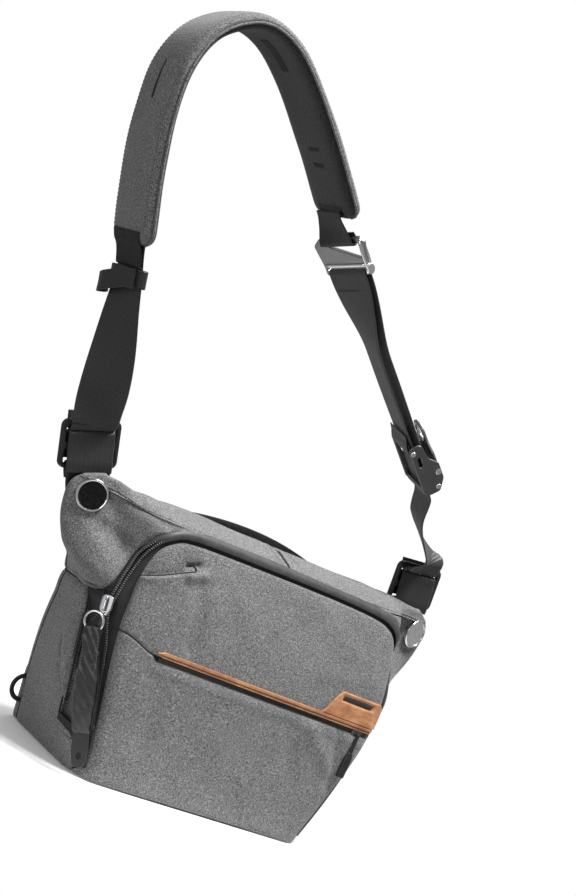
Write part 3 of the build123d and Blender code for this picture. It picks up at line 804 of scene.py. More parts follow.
# Wrinkles of the flap and of the left and right wings: start, end, width, height.
FLAP_FOLDS = [
    ((-92, 161.5), (-79, 166), 4.4, 2.6), ((-93, 168.5), (-84, 172), 2.2, -2.6),
    ((-76, 160), (-68, 118), 7, -2.0), ((-62, 156), (-50, 120), 9, 1.2), ((-92, 150), (-104, 118), 10, 1.1),
    ((-60, 172), (-20, 150), 10, 0.9), ((40, 176), (96, 150), 9, 1.0), ((110, 168), (118, 128), 6, -0.9),
    ((56, 134), (108, 140), 7, 0.9), ((62, 92), (96, 66), 6, 1.8), ((92, 94), (104, 58), 5, -1.9),
    ((40, 90), (66, 50), 8, -1.5), ((-88, 92), (-70, 40), 9, -1.3), ((-20, 60), (30, 30), 12, 0.8),
    ((100, 50), (92, 16), 7, 0.9)]
WING_FOLDS = [
    ((-152, 192), (-134, 160), 6, -1.6), ((-166, 170), (-140, 146), 6, 1.4),
    ((-150, 176), (-137, 172), 5, 1.2), ((-133, 197), (-112, 190), 5, -1.4),
    ((152, 190), (136, 162), 6, -1.2)]


def dart_offset(x, z):
    """Distance above the dart's seam, and how strongly the dart acts there."""
    slope = (DART[1][1] - DART[0][1]) / (DART[1][0] - DART[0][0])
    above = (z - DART[0][1] - (x - DART[0][0]) * slope) / math.hypot(1, slope)
    return above, step(x, -150, -128) * (1 - step(x, -92, -78))


def flap_height(x, z):
    """How far the flap's fabric stands off its plain surface."""
    edge = distance_to(FLAP_PATH, x, z)
    h = 1.5 * (1 - np.exp(-edge / 16)) - roll(edge, 3.4)
    h += 0.9 * np.sin(x / 41 + 0.6) * np.sin(z / 37 - 0.4) * step(edge, 6, 40)
    above, dart_on = dart_offset(x, z)
    bulge = 3.6 * np.exp(-np.clip(-above, 0, None) / 11) * (1 - 0.8 * np.exp(-(above / 1.0) ** 2))
    dip = -3.2 * np.exp(-np.clip(above, 0, None) / 8.5)
    over = step(above, -0.7, 0.5)
    h += dart_on * (bulge * (1 - over) + dip * over) * step(edge, 0, 3)
    return h + folds(x, z, FLAP_FOLDS)


HEIGHTS = np.arange(0, 205.0)
TAPE_SHARE = {side: OUTER.share_at(np.abs(branch_x(TAPE_PATH, side, HEIGHTS)), HEIGHTS)
              for side in (-1, 1)}


def tape_share(side, z):
    """Share of the way round where the zip's tape ends, at each height."""
    return np.interp(z, HEIGHTS, TAPE_SHARE[side])


SEAM_TOP = 137.5


def seam_z(share):
    """Height of the side seam: highest beside the zip."""
    return SEAM_TOP - 12.5 * np.clip((np.abs(share) - 0.34) / 0.15, 0, 1)


def tape_distance(share, z, p):
    start = np.where(share < 0, -tape_share(-1, z), tape_share(1, z))
    chord = np.linalg.norm(OUTER.at(start, z) - p, axis=-1)
    near = np.minimum(chord, distance_to(TAPE_PATH, p[..., 0], z))
    return np.where(np.abs(share) > 0.53, 60.0, np.where(z > 150, near, chord))


def body_height(share, z, p):
    """How far the body's fabric stands off its plain surface."""
    x = p[..., 0]
    front = np.abs(share) < 0.53
    edge = tape_distance(share, z, p)
    h = 1.2 * (1 - np.exp(-edge / 12)) - roll(edge, 3.0)
    seam = z - seam_z(share)
    h -= 1.6 * np.exp(-(seam / 1.7) ** 2)
    h += 1.3 * np.exp(-((seam - 7) / 6) ** 2) + 1.0 * np.exp(-((seam + 8) / 7) ** 2)
    h -= 1.3 * np.exp(-((np.abs(share) - BACK_SHARE) / 0.008) ** 2)
    h -= 1.5 * np.exp(-((np.abs(share) - REAR_SEAM) / 0.007) ** 2) * (z < JOIN_Z)
    h -= roll(np.clip(z, 0, None), 2.5) * (z < 10)
    tip = step(np.abs(x), 142, 176)
    h += 0.7 * np.sin(share * 26 + z / 23) * (1 - tip) * step(edge, 4, 20)
    h += folds(x, z, WING_FOLDS) * front
    rim = np.interp(z, [43, 60, 75, 100, 126], [3, 13, 20, 26, 34])
    on = (share < 0) * step(z, 42, 56) * (1 - step(z, 118, 136))
    swell = 3.0 * np.sin(math.pi * np.clip(edge / rim, 0, 1))
    h += on * (swell - 3.6 * np.exp(-((edge - rim) / 3.2) ** 2))
    return h + (share < 0) * (z < 60) * fold(x, z, (-116, 40), (-108, 6), 5, 1.2)


def ridge_lift(x, z):
    """The top edge dips a little towards the left."""
    lift = np.interp(x, [-160, -149, -136, -110, -60, 24, 54, 116, 150],
                     [-1.2, -1.2, -4.2, -4.4, -2.6, -2.0, -1.0, 0.8, 1.2])
    return lift * step(z, 178, TOP_Z)


def body_point(share, z):
    share, z = np.broadcast_arrays(np.asarray(share, float), np.asarray(z, float))
    p, n = OUTER.at(share, z), OUTER.normal(share, z)
    p = p + n * body_height(share, z, p)[..., None]
    p[..., 2] += ridge_lift(p[..., 0], z)
    return p, n


def flap_point(x, z, offset=0.0, shaped=True):
    share = OUTER.share_at(x, z)
    p, n = OUTER.at(share, z), OUTER.normal(share, z)
    h = (flap_height(p[..., 0], z) if shaped else 0.0) + offset
    return p + n * np.asarray(h)[..., None], n


def path_points(path, offset=0.0):
    """An outline laid on the plain surface."""
    return flap_point(path[:, 0], path[:, 1], offset, shaped=False)


# ---- panels of the body -------------------------------------------------------------------
def spaced(low, high, count, ends=0.0):
    """Numbers from low to high, closer together near the ends when `ends` is above 0."""
    t = np.linspace(0, 1, count)
    t = t - ends * np.sin(2 * math.pi * t) / (2 * math.pi)
    return low + (high - low) * t


SIDES = ((-1, "left"), (1, "right"))


def fabric_seam(name, line, radius, sides=6):
    finish_piece(tube(name, line, radius, sides=sides), SEAM, "bag")


def side_panel(name, side, upper, count, thick, nodes):
    """Side wall from the zip's tape round to the back seam, below or above the side seam."""
    v = spaced(0, 1, count, 0.5)[:, None]
    q = spaced(0, 1, 110, 0.4)[None]
    share = 0.36 + (BACK_SHARE - 0.36) * q + 0 * v
    for _ in range(4):
        low, high = (seam_z(share), JOIN_Z) if upper else (1.2, seam_z(share))
        z = low + (high - low) * v
        start = tape_share(side, z)
        share = start + (BACK_SHARE - start) * q
    if side < 0:
        share, z = -share[:, ::-1], z[:, ::-1]
    p, n = body_point(share, z)
    return finish_piece(shell(name, p, n, thick, crease=36), FABRIC, "bag", nodes)


def make_sides():
    for side, word in SIDES:
        side_panel(f"{word}_gusset_panel", side, False, 100, 3.0, [f"{word}_gusset"])
        side_panel(f"{word}_wing_panel", side, True, 70, 1.9, [f"{word}_wing"])
        low = tape_share(side, SEAM_TOP)
        share = side * np.linspace(low + 0.004, BACK_SHARE, 80)
        seam, n = body_point(share, seam_z(share))
        fabric_seam(f"{word}_side_seam", seam + n * 0.25, 0.55)
        share = side * np.linspace(tape_share(side, JOIN_Z) + 0.004, 0.54, 70)
        join, n = body_point(share, JOIN_Z)
        piping = tube(f"{word}_yoke_seam", join - n * 0.2, 0.6, sides=10)
        finish_piece(piping, FABRIC, "bag")
        z = np.linspace(2, JOIN_Z - 2, 90)
        rear, n = body_point(side * REAR_SEAM + 0 * z, z)
        fabric_seam(f"{word}_rear_seam", rear + n * 0.2, 0.5)


def make_top():
    """Fabric from above the zip, over the ridge and down to the back seam."""
    front = np.concatenate([np.linspace(-0.53, -0.3, 60), np.linspace(-0.3, 0.3, 121)[1:-1],
                            np.linspace(0.3, 0.53, 60)])
    back = np.sign(front) * np.interp(np.abs(front), [0, 0.30, 0.36, 0.39, 0.43, 0.48, 0.51, 0.53],
                                      [1.0, 0.70, 0.67, 0.64, 0.61, 0.58, 0.55, 0.53])
    rise = np.linspace(JOIN_Z, TOP_Z, 10)
    rows = [body_point(front, z + 0 * front)[0] for z in rise]
    fall = [body_point(back, z + 0 * back)[0] for z in rise[::-1]]
    a, b = rows[-1], fall[0]
    for t in np.linspace(0, 1, 12)[1:-1]:
        cap = a * (1 - t) + b * t
        cap[:, 2] += 2.2 * math.sin(math.pi * t) * step(np.abs(a[:, 1] - b[:, 1]), 2, 14)
        rows.append(cap)
    rows = np.array(rows + fall)
    soft = smooth_rows(rows.copy(), 14)
    inside = np.minimum(np.arange(len(rows)), np.arange(len(rows))[::-1])[:, None, None]
    share = step(inside, 1, 9)
    p = rows * (1 - share) + soft * share
    n = grid_normals(p)
    finish_piece(shell("top_yoke_panel", p, n, 1.6, crease=36), FABRIC, "bag", ["top_yoke"])


def make_back():
    """Padded back with sewn air channels, from the base to the yoke."""
    z = spaced(1.2, JOIN_Z, 110, 0.4)
    share = np.concatenate([np.linspace(BACK_SHARE, 1, 80), -np.linspace(1, BACK_SHARE, 80)[1:]])
    share, zz = np.meshgrid(share, z)
    p, n = OUTER.at(share, zz), OUTER.normal(share, zz)
    edge = np.minimum.reduce([(np.abs(share) - BACK_SHARE) * 330, zz - 1.2, JOIN_Z - zz])
    h = 2.0 * (1 - np.exp(-edge / 9)) - roll(edge, 3.0)
    h -= 1.4 * np.exp(-((np.abs(p[..., 0]) - 52) / 3.2) ** 2) * step(edge, 4, 14)
    h -= 1.4 * np.exp(-((zz - 96) / 3.2) ** 2) * step(edge, 4, 14)
    p = p + n * h[..., None]
    p[..., 2] += ridge_lift(p[..., 0], zz)
    finish_piece(shell("back_pad", p, n, 4.2), FABRIC, "bag", ["back_panel"])
    for side, word in SIDES:
        line, n = body_point(side * BACK_SHARE + 0 * z[4:-2], z[4:-2])
        piping = tube(f"{word}_back_piping", line + n * 0.5, 1.1, sides=8)
        finish_piece(piping, FABRIC, "bag")


def make_rear_pocket():
    """Stash pocket on the back with an arched, bound opening."""
    x = np.linspace(-82, 82, 110)
    arch = 207.0 - 11.0 * (x / 82) ** 2
    q = spaced(0, 1, 120, 0.4)[:, None]
    z = 12 + (arch[None] - 12) * q
    line_z = [10, 40, 80, 125, 150, 186, 207.5]
    y = np.interp(z, line_z, [67.6, 62.4, 56.4, 45.4, 36.4, 24.4, 16.4])
    p = np.stack([np.broadcast_to(x, z.shape), y, z], 2)
    n = -grid_normals(p)
    edge = np.minimum(82 - np.abs(p[..., 0]), z - 12)
    h = 1.6 * (1 - np.exp(-edge / 12)) - roll(edge, 2.2) + 0.8 * np.sin(p[..., 0] / 23) * np.sin(z / 31)
    p = p + n * h[..., None]
    p = p[:, ::-1]
    obj = shell("rear_pocket_panel", p, n[:, ::-1], 1.5)
    finish_piece(obj, DARK_FABRIC, "bag", ["rear_pocket"])
    hem = resample(p[-1], 2.0)
    finish_piece(tube("rear_pocket_hem", hem, 1.5, (0, 0, 1), flat=0.8), SEAM, "bag")
    thread = resample(p[-7], 2.0)
    out = np.array([0, 1.0, 0.3])
    stitches = stitch_line("rear_pocket_stitches", thread, out, lift=0.3)
    finish_piece(stitches, DARK_THREAD, "bag")


def disc_grid(wall, z, rows, share_count=160):
    """A flat sheet inside a wall's ring, as shrinking rings."""
    share = np.concatenate([np.linspace(0, 1, share_count), -np.linspace(1, 0, share_count)[1:-1]])
    ring = wall.at(share, z + 0 * share)
    centre = np.array([0.0, 0.0, z])
    return centre + (ring - centre) * np.linspace(1, 0.02, rows)[:, None, None]


def closed_disc(name, p, thick, up):
    """A solid sheet from shrinking rings."""
    rows, cols = p.shape[:2]
    n = rows * cols
    other = p + np.array([0, 0, thick if up else -thick])
    faces = grid_faces(rows, cols, wrap=True) + grid_faces(rows, cols, n, wrap=True, flip=True)
    faces += [tuple((rows - 1) * cols + j for j in range(cols)),
              tuple(n + (rows - 1) * cols + j for j in range(cols))[::-1]]
    for j in range(cols):
        k = (j + 1) % cols
        faces.append((k, j, n + j, n + k))
    points = np.concatenate([p.reshape(-1, 3), other.reshape(-1, 3)])
    return fix_normals(mesh_object(name, points, faces, points[:, :2]))


def make_base():
    p = disc_grid(OUTER, 1.4, 26)
    rings = np.linspace(0, 1, 26)[:, None]
    waves = 0.25 * np.sin(p[..., 0] / 26) * np.sin(p[..., 1] / 19) * step(rings, 0.1, 0.3)
    p[..., 2] = np.maximum(1.4 - 1.3 * step(rings, 0, 0.06) + waves, 0.02)
    finish_piece(closed_disc("base_fabric", p, 1.5, True), FABRIC, "bag", ["base_panel"])
    floor = disc_grid(INNER, 5.2, 20)
    floor[..., 2] += 0.5 * np.sin(floor[..., 0] / 17) * np.sin(floor[..., 1] / 15)
    lining = closed_disc("floor_lining", floor, 0.8, False)
    finish_piece(lining, LINING, "bag", ["base_board"])


def make_lining():
    """Lining of the compartment, turned out to the zip round its opening."""
    cols = spaced(0, 1, 150, 0.3)
    rows = []
    for height in np.linspace(5, 192, 90):
        z = np.array([height])
        edge = {side: np.array([branch_x(TEETH_PATH, side, height)]) for side, _ in SIDES}
        reach = 112 + 0.05 * height
        left, right = (INNER.share_at(np.minimum(np.abs(edge[side]), reach), z)[0] for side, _ in SIDES)
        share = right + ((2 - left) - right) * cols
        share = np.where(share > 1, share - 2, share)
        inner = INNER.at(share, height + 0 * share)
        for side, away in ((1, cols), (-1, 1 - cols)):
            outer = OUTER.at(OUTER.share_at(edge[side], z), z)[0]
            near = (1 - step(away, 0, 0.035))[:, None]
            inner = inner * (1 - near) + (outer + [1.5 * side, 1.6, 0]) * near
        rows.append(inner)
    p = np.array(rows)
    lining = shell("compartment_lining", p, -grid_normals(p), 0.7)
    finish_piece(fix_normals(lining), LINING, "bag")


DIVIDER_X, DIVIDER_T = 40.0, 3.4
DIVIDER_LOW, DIVIDER_FOLD, DIVIDER_TOP = 8.0, 98.0, 148.0


def divider_shape(name, corners, x, body, node):
    """A padded board with rolled edges and a bound rim, from its outline in the side view."""
    outline = rounded(corners, [5] * len(corners), 8)
    line = np.concatenate([outline, outline[:1]])
    line = resample(np.concatenate([line, 0 * line[:, :1]], 1), 2.2)[:-1, :2]
    centre = line.mean(0)
    flat = centre + (line - centre) * np.linspace(1, 0.03, 24)[:, None, None]
    edge = distance_to(np.concatenate([line, line[:1]]), flat[..., 0], flat[..., 1])
    rim = np.sqrt(np.clip(1 - (1 - np.clip(edge / 3.2, 0, 1)) ** 2, 0.02, 1))
    half = DIVIDER_T / 2 * rim + 0.7 * (1 - np.exp(-edge / 10))
    p, q = (np.stack([x + h, flat[..., 0], flat[..., 1]], 2) for h in (half, -half))
    r, c = flat.shape[:2]
    n = r * c
    faces = grid_faces(r, c, wrap=True) + grid_faces(r, c, n, wrap=True, flip=True)
    faces += [tuple((r - 1) * c + j for j in range(c)), tuple(n + (r - 1) * c + j for j in range(c))[::-1]]
    faces += [((j + 1) % c, j, n + j, n + (j + 1) % c) for j in range(c)]
    obj = fix_normals(mesh_object(name, np.concatenate([p.reshape(-1, 3), q.reshape(-1, 3)]), faces))
    finish_piece(obj, DIVIDER, body, [node])
    seam = np.stack([x + 0 * line[:, 0], line[:, 0], line[:, 1]], 1)
    binding = tube(f"{name}_binding", seam, 1.3, (1, 0, 0), closed=True, sides=8)
    finish_piece(binding, LINING, body)


def make_dividers():
    low, fold_z, top = DIVIDER_LOW, DIVIDER_FOLD, DIVIDER_TOP
    board = [(-53, low + 1), (49, low + 1), (39.5, fold_z - 1), (-55, fold_z - 1)]
    flap = [(-53, fold_z + 4.5), (33, fold_z + 4.5), (21, top - 1), (-45, top - 1)]
    for side, word in SIDES:
        x = DIVIDER_X * side
        divider_shape(f"divider_{word}_board", board, x, "bag", f"divider_{word}")
        divider_shape(f"divider_{word}_flap", flap, x, f"divider_{word}_flap", f"divider_{word}_top")
        y, z = np.meshgrid(np.linspace(-48, 30, 60), np.linspace(fold_z - 3, fold_z + 8, 12))
        bend = np.stack([x + 0 * y, y, z], 2)
        hinge = shell(f"divider_{word}_hinge", bend, np.full(bend.shape, [-1.0, 0, 0]), 0.6)
        hinge.data.materials.append(LINING)
        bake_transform(hinge)


def make_slip_pocket():
    x, q = np.meshgrid(np.linspace(-88, 88, 90), np.linspace(0, 1, 40))
    y = 54.6 - 12.4 * q - 0.9 * np.sin(x / 88 * math.pi * 2) ** 2 * q
    p = np.stack([x, y, 10 + 85 * q], 2)
    panel = shell("slip_pocket_panel", p, grid_normals(p), 0.9)
    finish_piece(panel, LINING, "bag", ["inner_slip_pocket"])
    fabric_seam("slip_pocket_hem", resample(p[-1], 2), 1.1, 8)


# ---- front flap ---------------------------------------------------------------------------
SPLIT_Z = 102.0


def split_z(x):
    """Height of the pocket's line: level along the zip, rising to the flap's left edge."""
    return SPLIT_Z + 7.5 * step(-x, 93, 124) - 0.4 * step(x, 110, 128)


def slot_share(x):
    return step(x, -96, -90) * (1 - step(x, 119, 125))


def flap_corner_line(side):
    """The flap's side edge from the pocket's line up to its top edge."""
    half = branch(FLAP_PATH, side)
    corner = 93 if side < 0 else 91
    turn = int(np.argmax(np.abs(half[:, 0]) < corner))
    turn = turn if half[turn, 1] > 150 else int(np.argmax((half[:, 1] > 150) & (np.abs(half[:, 0]) < 93)))
    half = half[:turn + 1]
    half = half[half[:, 1] > split_z(half[:, 0]) + 0.5]
    low = split_z(half[0, 0]) + 0.25
    half = np.concatenate([[[branch_x(FLAP_PATH, side, low), low]], half])
    return resample(np.concatenate([half, 0 * half[:, :1]], 1), 0.5)[:, :2]


def make_flap_lower():
    """The fabric below the pocket's zip, its bottom edge rolled under at the hinge."""
    across = spaced(0, 1, 190, 0.3)
    up = spaced(0, 1, 100, 0.45)[:, None]
    x = np.linspace(-104, 104, 190)[None]
    for _ in range(4):
        top = split_z(x) - 2.9 * slot_share(x) - 0.25
        z = 0.6 + (top - 0.6) * up
        flare = 3.6 * (1 - step(z, 1, 9))
        left, right = branch_x(FLAP_PATH, -1, z) - flare, branch_x(FLAP_PATH, 1, z) + flare
        x = left * (1 - across) + right * across
    gap = split_z(x) - 2.9 * slot_share(x) - 0.25 - z
    lip = slot_share(x) * (0.5 * np.exp(-gap / 9) - 0.8 * np.exp(-(gap - 6) ** 2 / 18))
    p, n = flap_point(x, z)
    hem = roll(z - 0.6, 2.2) * 0.8 - 0.5 * np.exp(-((z - 5) / 3) ** 2)
    p = p - n * (roll(gap, 2.2) + lip + hem)[..., None]
    lower = shell("flap_lower_fabric", p, n, 3.2)
    lower.data.materials.append(FABRIC)
    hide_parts("flap_lower_panel")
    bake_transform(lower)


def make_flap_upper():
    """The fabric above the pocket's zip, up to the zip that closes the bag."""
    across = spaced(0, 1, 190, 0.3)
    ends = []
    for side in (-1, 1):
        line = flap_corner_line(side)
        at = np.linspace(0, len(line) - 1, 110)
        ends.append(np.stack([np.interp(at, np.arange(len(line)), line[:, k]) for k in range(2)], 1))
    xz = ends[0][:, None] * (1 - across[None, :, None]) + ends[1][:, None] * across[None, :, None]
    v = np.linspace(0, 1, 110)[:, None]
    base = split_z(xz[0, :, 0]) + 0.25
    top = FLAP_PATH[(FLAP_PATH[:, 1] > 182)]
    crest = np.interp(xz[-1, :, 0], top[:, 0], top[:, 1]) - xz[-1, :, 1]
    z = xz[..., 1] + (base - xz[0, :, 1])[None] * (1 - v) ** 3 + crest[None] * v ** 4
    p, n = flap_point(xz[..., 0], z)
    p = p - n * roll(z - base[None], 1.8)[..., None]
    finish_piece(shell("flap_upper_fabric", p, n, 3.2), FABRIC, "front_flap",
                 ["flap_upper_panel", "flap_foam"])


def make_dart():
    """Seam of the dart and the pucker where it ends."""
    t = np.linspace(0.03, 1.0, 60)[:, None]
    line = np.array(DART[0]) * (1 - t) + np.array(DART[1]) * t
    p, _ = flap_point(line[:, 0], line[:, 1], 0.35)
    seam = tube("dart_seam", smooth_rows(p.copy(), 2), 0.8, sides=8)
    finish_piece(seam, SEAM, "front_flap")
    turn = np.linspace(0.2, 1.35, 14)[:, None] * math.pi
    hook = np.concatenate([-87.6 + 2.6 * np.sin(turn), 169.0 - 2.4 * np.cos(turn)], 1)
    p, _ = flap_point(hook[:, 0], hook[:, 1], -0.1)
    finish_piece(tube("dart_pucker", p, 0.75, sides=8), SEAM, "front_flap")


def make_flap_back():
    """Lining and binding of the flap."""
    z = spaced(9, 187, 90, 0.3)[:, None]
    across = np.linspace(0, 1, 100)
    left, right = branch_x(FLAP_PATH, -1, z) + 1.5, branch_x(FLAP_PATH, 1, z) - 1.5
    x = left * (1 - across) + right * across
    p, n = flap_point(x, z + 0 * x, -4.1, shaped=False)
    p = p - n * (0.3 * np.sin(x / 19) * np.sin(z / 23))[..., None]
    panel = shell("flap_lining_panel", p, n, 0.7)
    finish_piece(panel, LINING, "front_flap", ["flap_lining"])
    edge, n = path_points(resample(FLAP_PATH, 2.0), -3.4)
    binding = tube("flap_binding", edge, 1.1, (0, -1, 0), sides=8)
    finish_piece(binding, SEAM, "front_flap")


def strip_on(name, lines, profile, mat, body, nodes=(), thick=0.9):
    """A strip across several front-view lines, with a height off the surface for each."""
    xz = np.array(lines)
    p, n = flap_point(xz[..., 0], xz[..., 1], np.asarray(profile), shaped=False)
    p, n = p.transpose(1, 0, 2), n.transpose(1, 0, 2)
    return finish_piece(fix_normals(shell(name, p, n, thick)), mat, body, nodes)


def between(a, b, t):
    """Line part of the way from path a to path b, t for each point or for all."""
    t = np.asarray(t)[..., None] if np.ndim(t) else t
    return a * (1 - t) + b * t


def make_main_zip():
    index = np.arange(len(TAPE_PATH))
    z, x = TEETH_PATH[:, 1], TEETH_PATH[:, 0]
    left = x < 0
    open_part = np.where(left, 1 - step(z, 104, 126), 0.0)
    covered = np.where(left, step(z, 168, 184), 1.0)
    lines, heights = [], []
    for s in np.linspace(0, 1, 15):
        lines.append(between(TEETH_PATH, TAPE_PATH, s))
        closed = -1.4 + 0.9 * math.exp(-(s / 0.2) ** 2)
        wide = -1.2 - 5.2 * math.sin(math.pi * min(s * 1.15, 1.0)) ** 1.2 * (1 - 0.35 * s)
        heights.append(closed * (1 - open_part) + wide * open_part)
    heights = np.array(heights)
    strip_on("main_zip_body_tape", lines, heights, TAPE, "bag", ["main_zip_tape_body"])
    keep = index[TEETH_PATH[:, 1] > 8]
    flap_lines = [between(TEETH_PATH, FLAP_PATH, s)[keep] for s in np.linspace(0.06, 1.12, 9)]
    flap_heights = [np.full(len(keep), -1.3 - 0.9 * s) for s in np.linspace(0, 1, 9)]
    strip_on("main_zip_flap_tape", flap_lines, flap_heights, TAPE, "front_flap",
             ["main_zip_tape_flap"])
    make_recess()
    make_cover(covered)
    make_teeth()


def make_recess():
    """Ribbed inner tape beside the opened zip, with its stitching."""
    keep = (TAPE_PATH[:, 0] < 0) & (TAPE_PATH[:, 1] > 22) & (TAPE_PATH[:, 1] < 128)
    lines, heights = [], []
    for s in np.linspace(0.97, 0.56, 8):
        lines.append(between(TEETH_PATH, TAPE_PATH, s)[keep])
        heights.append(np.full(keep.sum(), -1.6 - 2.6 * (0.97 - s) / 0.41))
    strip_on("recess_inner_tape", lines, heights, INNER_TAPE, "bag", thick=0.7)
    for s, word in ((0.9, "outer"), (0.62, "inner")):
        line = between(TEETH_PATH, TAPE_PATH, s)[keep]
        p, n = flap_point(line[:, 0], line[:, 1], -1.35 - 2.6 * (0.97 - s) / 0.41, shaped=False)
        finish_piece(stitch_line(f"recess_stitches_{word}", p, n[0]), THREAD, "bag")
    tab = TAPE_PATH[(TAPE_PATH[:, 0] < 0) & (TAPE_PATH[:, 1] > 8) & (TAPE_PATH[:, 1] < 44)]
    lines = [tab + [4.0 * s, 0] for s in np.linspace(-0.4, 1.4, 5)]
    strip_on("corner_ribbon_tab", lines, [np.full(len(tab), 0.9 + 0.3 * s) for s in (0, 1, 1.2, 1, 0)],
             TAPE, "bag", thick=0.8)


def make_cover(covered):
    """Smooth film-faced cover over the closed zip, raised along its middle."""
    keep = covered > 0.02
    lines, heights = [], []
    inner = between(TEETH_PATH, FLAP_PATH, 0.52)
    start = between(TAPE_PATH, inner, covered)
    for s in np.linspace(0, 1, 11):
        lines.append(between(TAPE_PATH, start, s)[keep])
        crown = 0.3 + 1.5 * math.sin(math.pi * min(s * 0.8 + 0.12, 1.0)) ** 0.8
        heights.append((crown * covered - 0.4 * (1 - covered))[keep])
    strip_on("main_zip_cover", lines, heights, BAND, "bag", thick=1.0)
    line = between(TAPE_PATH, start, 0.14)[keep]
    p, n = flap_point(line[:, 0], line[:, 1], 0.9, shaped=False)
    stitches = stitch_line("main_zip_cover_stitches", p[6:-6], n[60], radius=0.16)
    finish_piece(stitches, DARK_THREAD, "bag")


def make_teeth():
    """Coil teeth along both sides of the zip, parted below the slider on the left."""
    line = resample(np.concatenate([TEETH_PATH, 0 * TEETH_PATH[:, :1]], 1), 1.7)[:, :2]
    spread = np.where(line[:, 0] < 0, 1 - step(line[:, 1], 92, 122), 0.0)
    middle = line.mean(0)
    inward = unit(np.stack([-(np.gradient(line[:, 1])), np.gradient(line[:, 0])], 1))
    inward = np.where(((middle - line) * inward).sum(1, keepdims=True) < 0, -inward, inward)
    for word, sign, body in (("body", -1, "bag"), ("flap", 1, "front_flap")):
        xz = line + inward * (sign * (1.05 + 2.2 * spread))[:, None]
        keep = xz[:, 1] > 12
        p, n = flap_point(xz[keep, 0], xz[keep, 1], 0.3, shaped=False)
        tip = (xz + inward * sign * 0.8)[keep]
        q, _ = flap_point(tip[:, 0], tip[:, 1], 0.3, shaped=False)
        obj = capsules(f"main_zip_coil_{word}", p, q - p, n, 2.3, 0.55)
        finish_piece(obj, TEETH, body, [f"main_zip_teeth_{word}"])


POCKET_LEFT, POCKET_RIGHT = -92, 122
POCKET_LOW, POCKET_HIGH = 96.6, 104.4      # edges of the pocket zip's tape
TRIM_LEFT, TRIM_Z = -93, 104.2             # the leather strip tapers to this height at its left end
LABEL_LOW, SLOT_Z = 107.0, 121.8           # lower edge of the label, and its slot's middle


def make_pocket():
    """Front pocket's zip and the leather strip above it."""
    x = np.linspace(POCKET_LEFT, POCKET_RIGHT, 150)
    rows = [np.stack([x, 0 * x + z], 1) for z in np.linspace(POCKET_LOW, POCKET_HIGH, 8)]
    strip_on("pocket_tape", rows, np.full((8, 150), -2.6), TAPE, "front_flap",
             ["pocket_zip_tape"], 0.7)
    for word, z in (("low", 99.2), ("high", 100.8)):
        xs = np.arange(-88, 118, 1.3)
        p, n = flap_point(xs, 0 * xs + z, -1.6, shaped=False)
        obj = capsules(f"pocket_coil_{word}", p, np.broadcast_to([0, 0, 1.0], p.shape), n, 1.7, 0.4)
        finish_piece(obj, TEETH, "front_flap", ["pocket_zip_teeth"] if word == "low" else ())
    x = np.linspace(TRIM_LEFT, POCKET_RIGHT, 220)
    taper = step(x, TRIM_LEFT, TRIM_LEFT + 7)
    for word, low, high, lift in (("upper", 104.1, 106.7, 1.3), ("lower", 102.1, 103.6, 0.6)):
        rows, heights = [], []
        for s in np.linspace(0, 1, 7):
            z = TRIM_Z + (low + (high - low) * s - TRIM_Z) * (0.25 + 0.75 * taper)
            rows.append(np.stack([x, z], 1))
            heights.append(flap_height(x, z) + lift + 0.35 * math.sin(math.pi * s) ** 0.5)
        nodes = ["leather_trim"] if word == "upper" else ()
        strip_on(f"leather_strip_{word}", rows, np.array(heights), LEATHER, "front_flap",
                 nodes, 1.2)
    x = np.linspace(-84, 66, 120)
    z = 0 * x + 106.0
    p, n = flap_point(x, z, flap_height(x, z) + 1.55, shaped=False)
    stitches = stitch_line("leather_stitches_upper", p, n[60], 2.2, 1.5, 0.14)
    finish_piece(stitches, THREAD, "front_flap")


def label_top(x, start=66.0):
    """Upper edge of the label: a rounded ramp up from the strip, then level."""
    return LABEL_LOW + 20.0 * step(x, start, start + 15) - 2.4 * step(x, 120.5, 125.5)


def make_label():
    """Raised end of the leather strip: slotted, hatched and blank."""
    x = np.concatenate([np.linspace(64, 84, 34), np.linspace(84, 122, 50)[1:],
                        np.linspace(122, 125.6, 9)[1:]])
    lean = lambda z: (z - LABEL_LOW) * 0.06
    base = flap_height(x, 112 + 0 * x)
    rows, heights = [], []
    for s in np.linspace(0, 1, 26):
        z = LABEL_LOW + (label_top(x) - LABEL_LOW) * s
        rows.append(np.stack([x + lean(z) - 1.0, z], 1))
        edge = np.minimum.reduce([label_top(x) - z + 0.02, 126.0 - x, 5 + 0 * x])
        groove = np.exp(-((z - SLOT_Z) / 2.6) ** 6) * step(x, 80, 82) * (1 - step(x, 114, 116))
        heights.append(base + 1.9 - roll(edge, 1.0) - 1.3 * groove)
    strip_on("leather_label_body", rows, np.array(heights), LEATHER, "front_flap",
             ["leather_label"], 1.6)
    xs = np.arange(82.5, 113.5, 1.15)
    z = 0 * xs + SLOT_Z
    p, n = flap_point(xs + lean(z) - 1, z, flap_height(xs, z) + 1.0, shaped=False)
    tilt = np.broadcast_to(unit([0.45, 0, 1.0]), p.shape)
    hatching = capsules("label_hatching", p, tilt, n, 4.6, 0.42)
    finish_piece(hatching, DARK_THREAD, "front_flap")
    xs = np.concatenate([np.linspace(73, 82, 12), np.linspace(82, 122, 40)])
    z = label_top(xs) - 1.7
    p, n = flap_point(xs + lean(z) - 1, z, flap_height(xs, z) + 1.95, shaped=False)
    stitches = stitch_line("label_stitches", p, n[20], 1.9, 1.3, 0.13)
    finish_piece(stitches, THREAD, "front_flap")


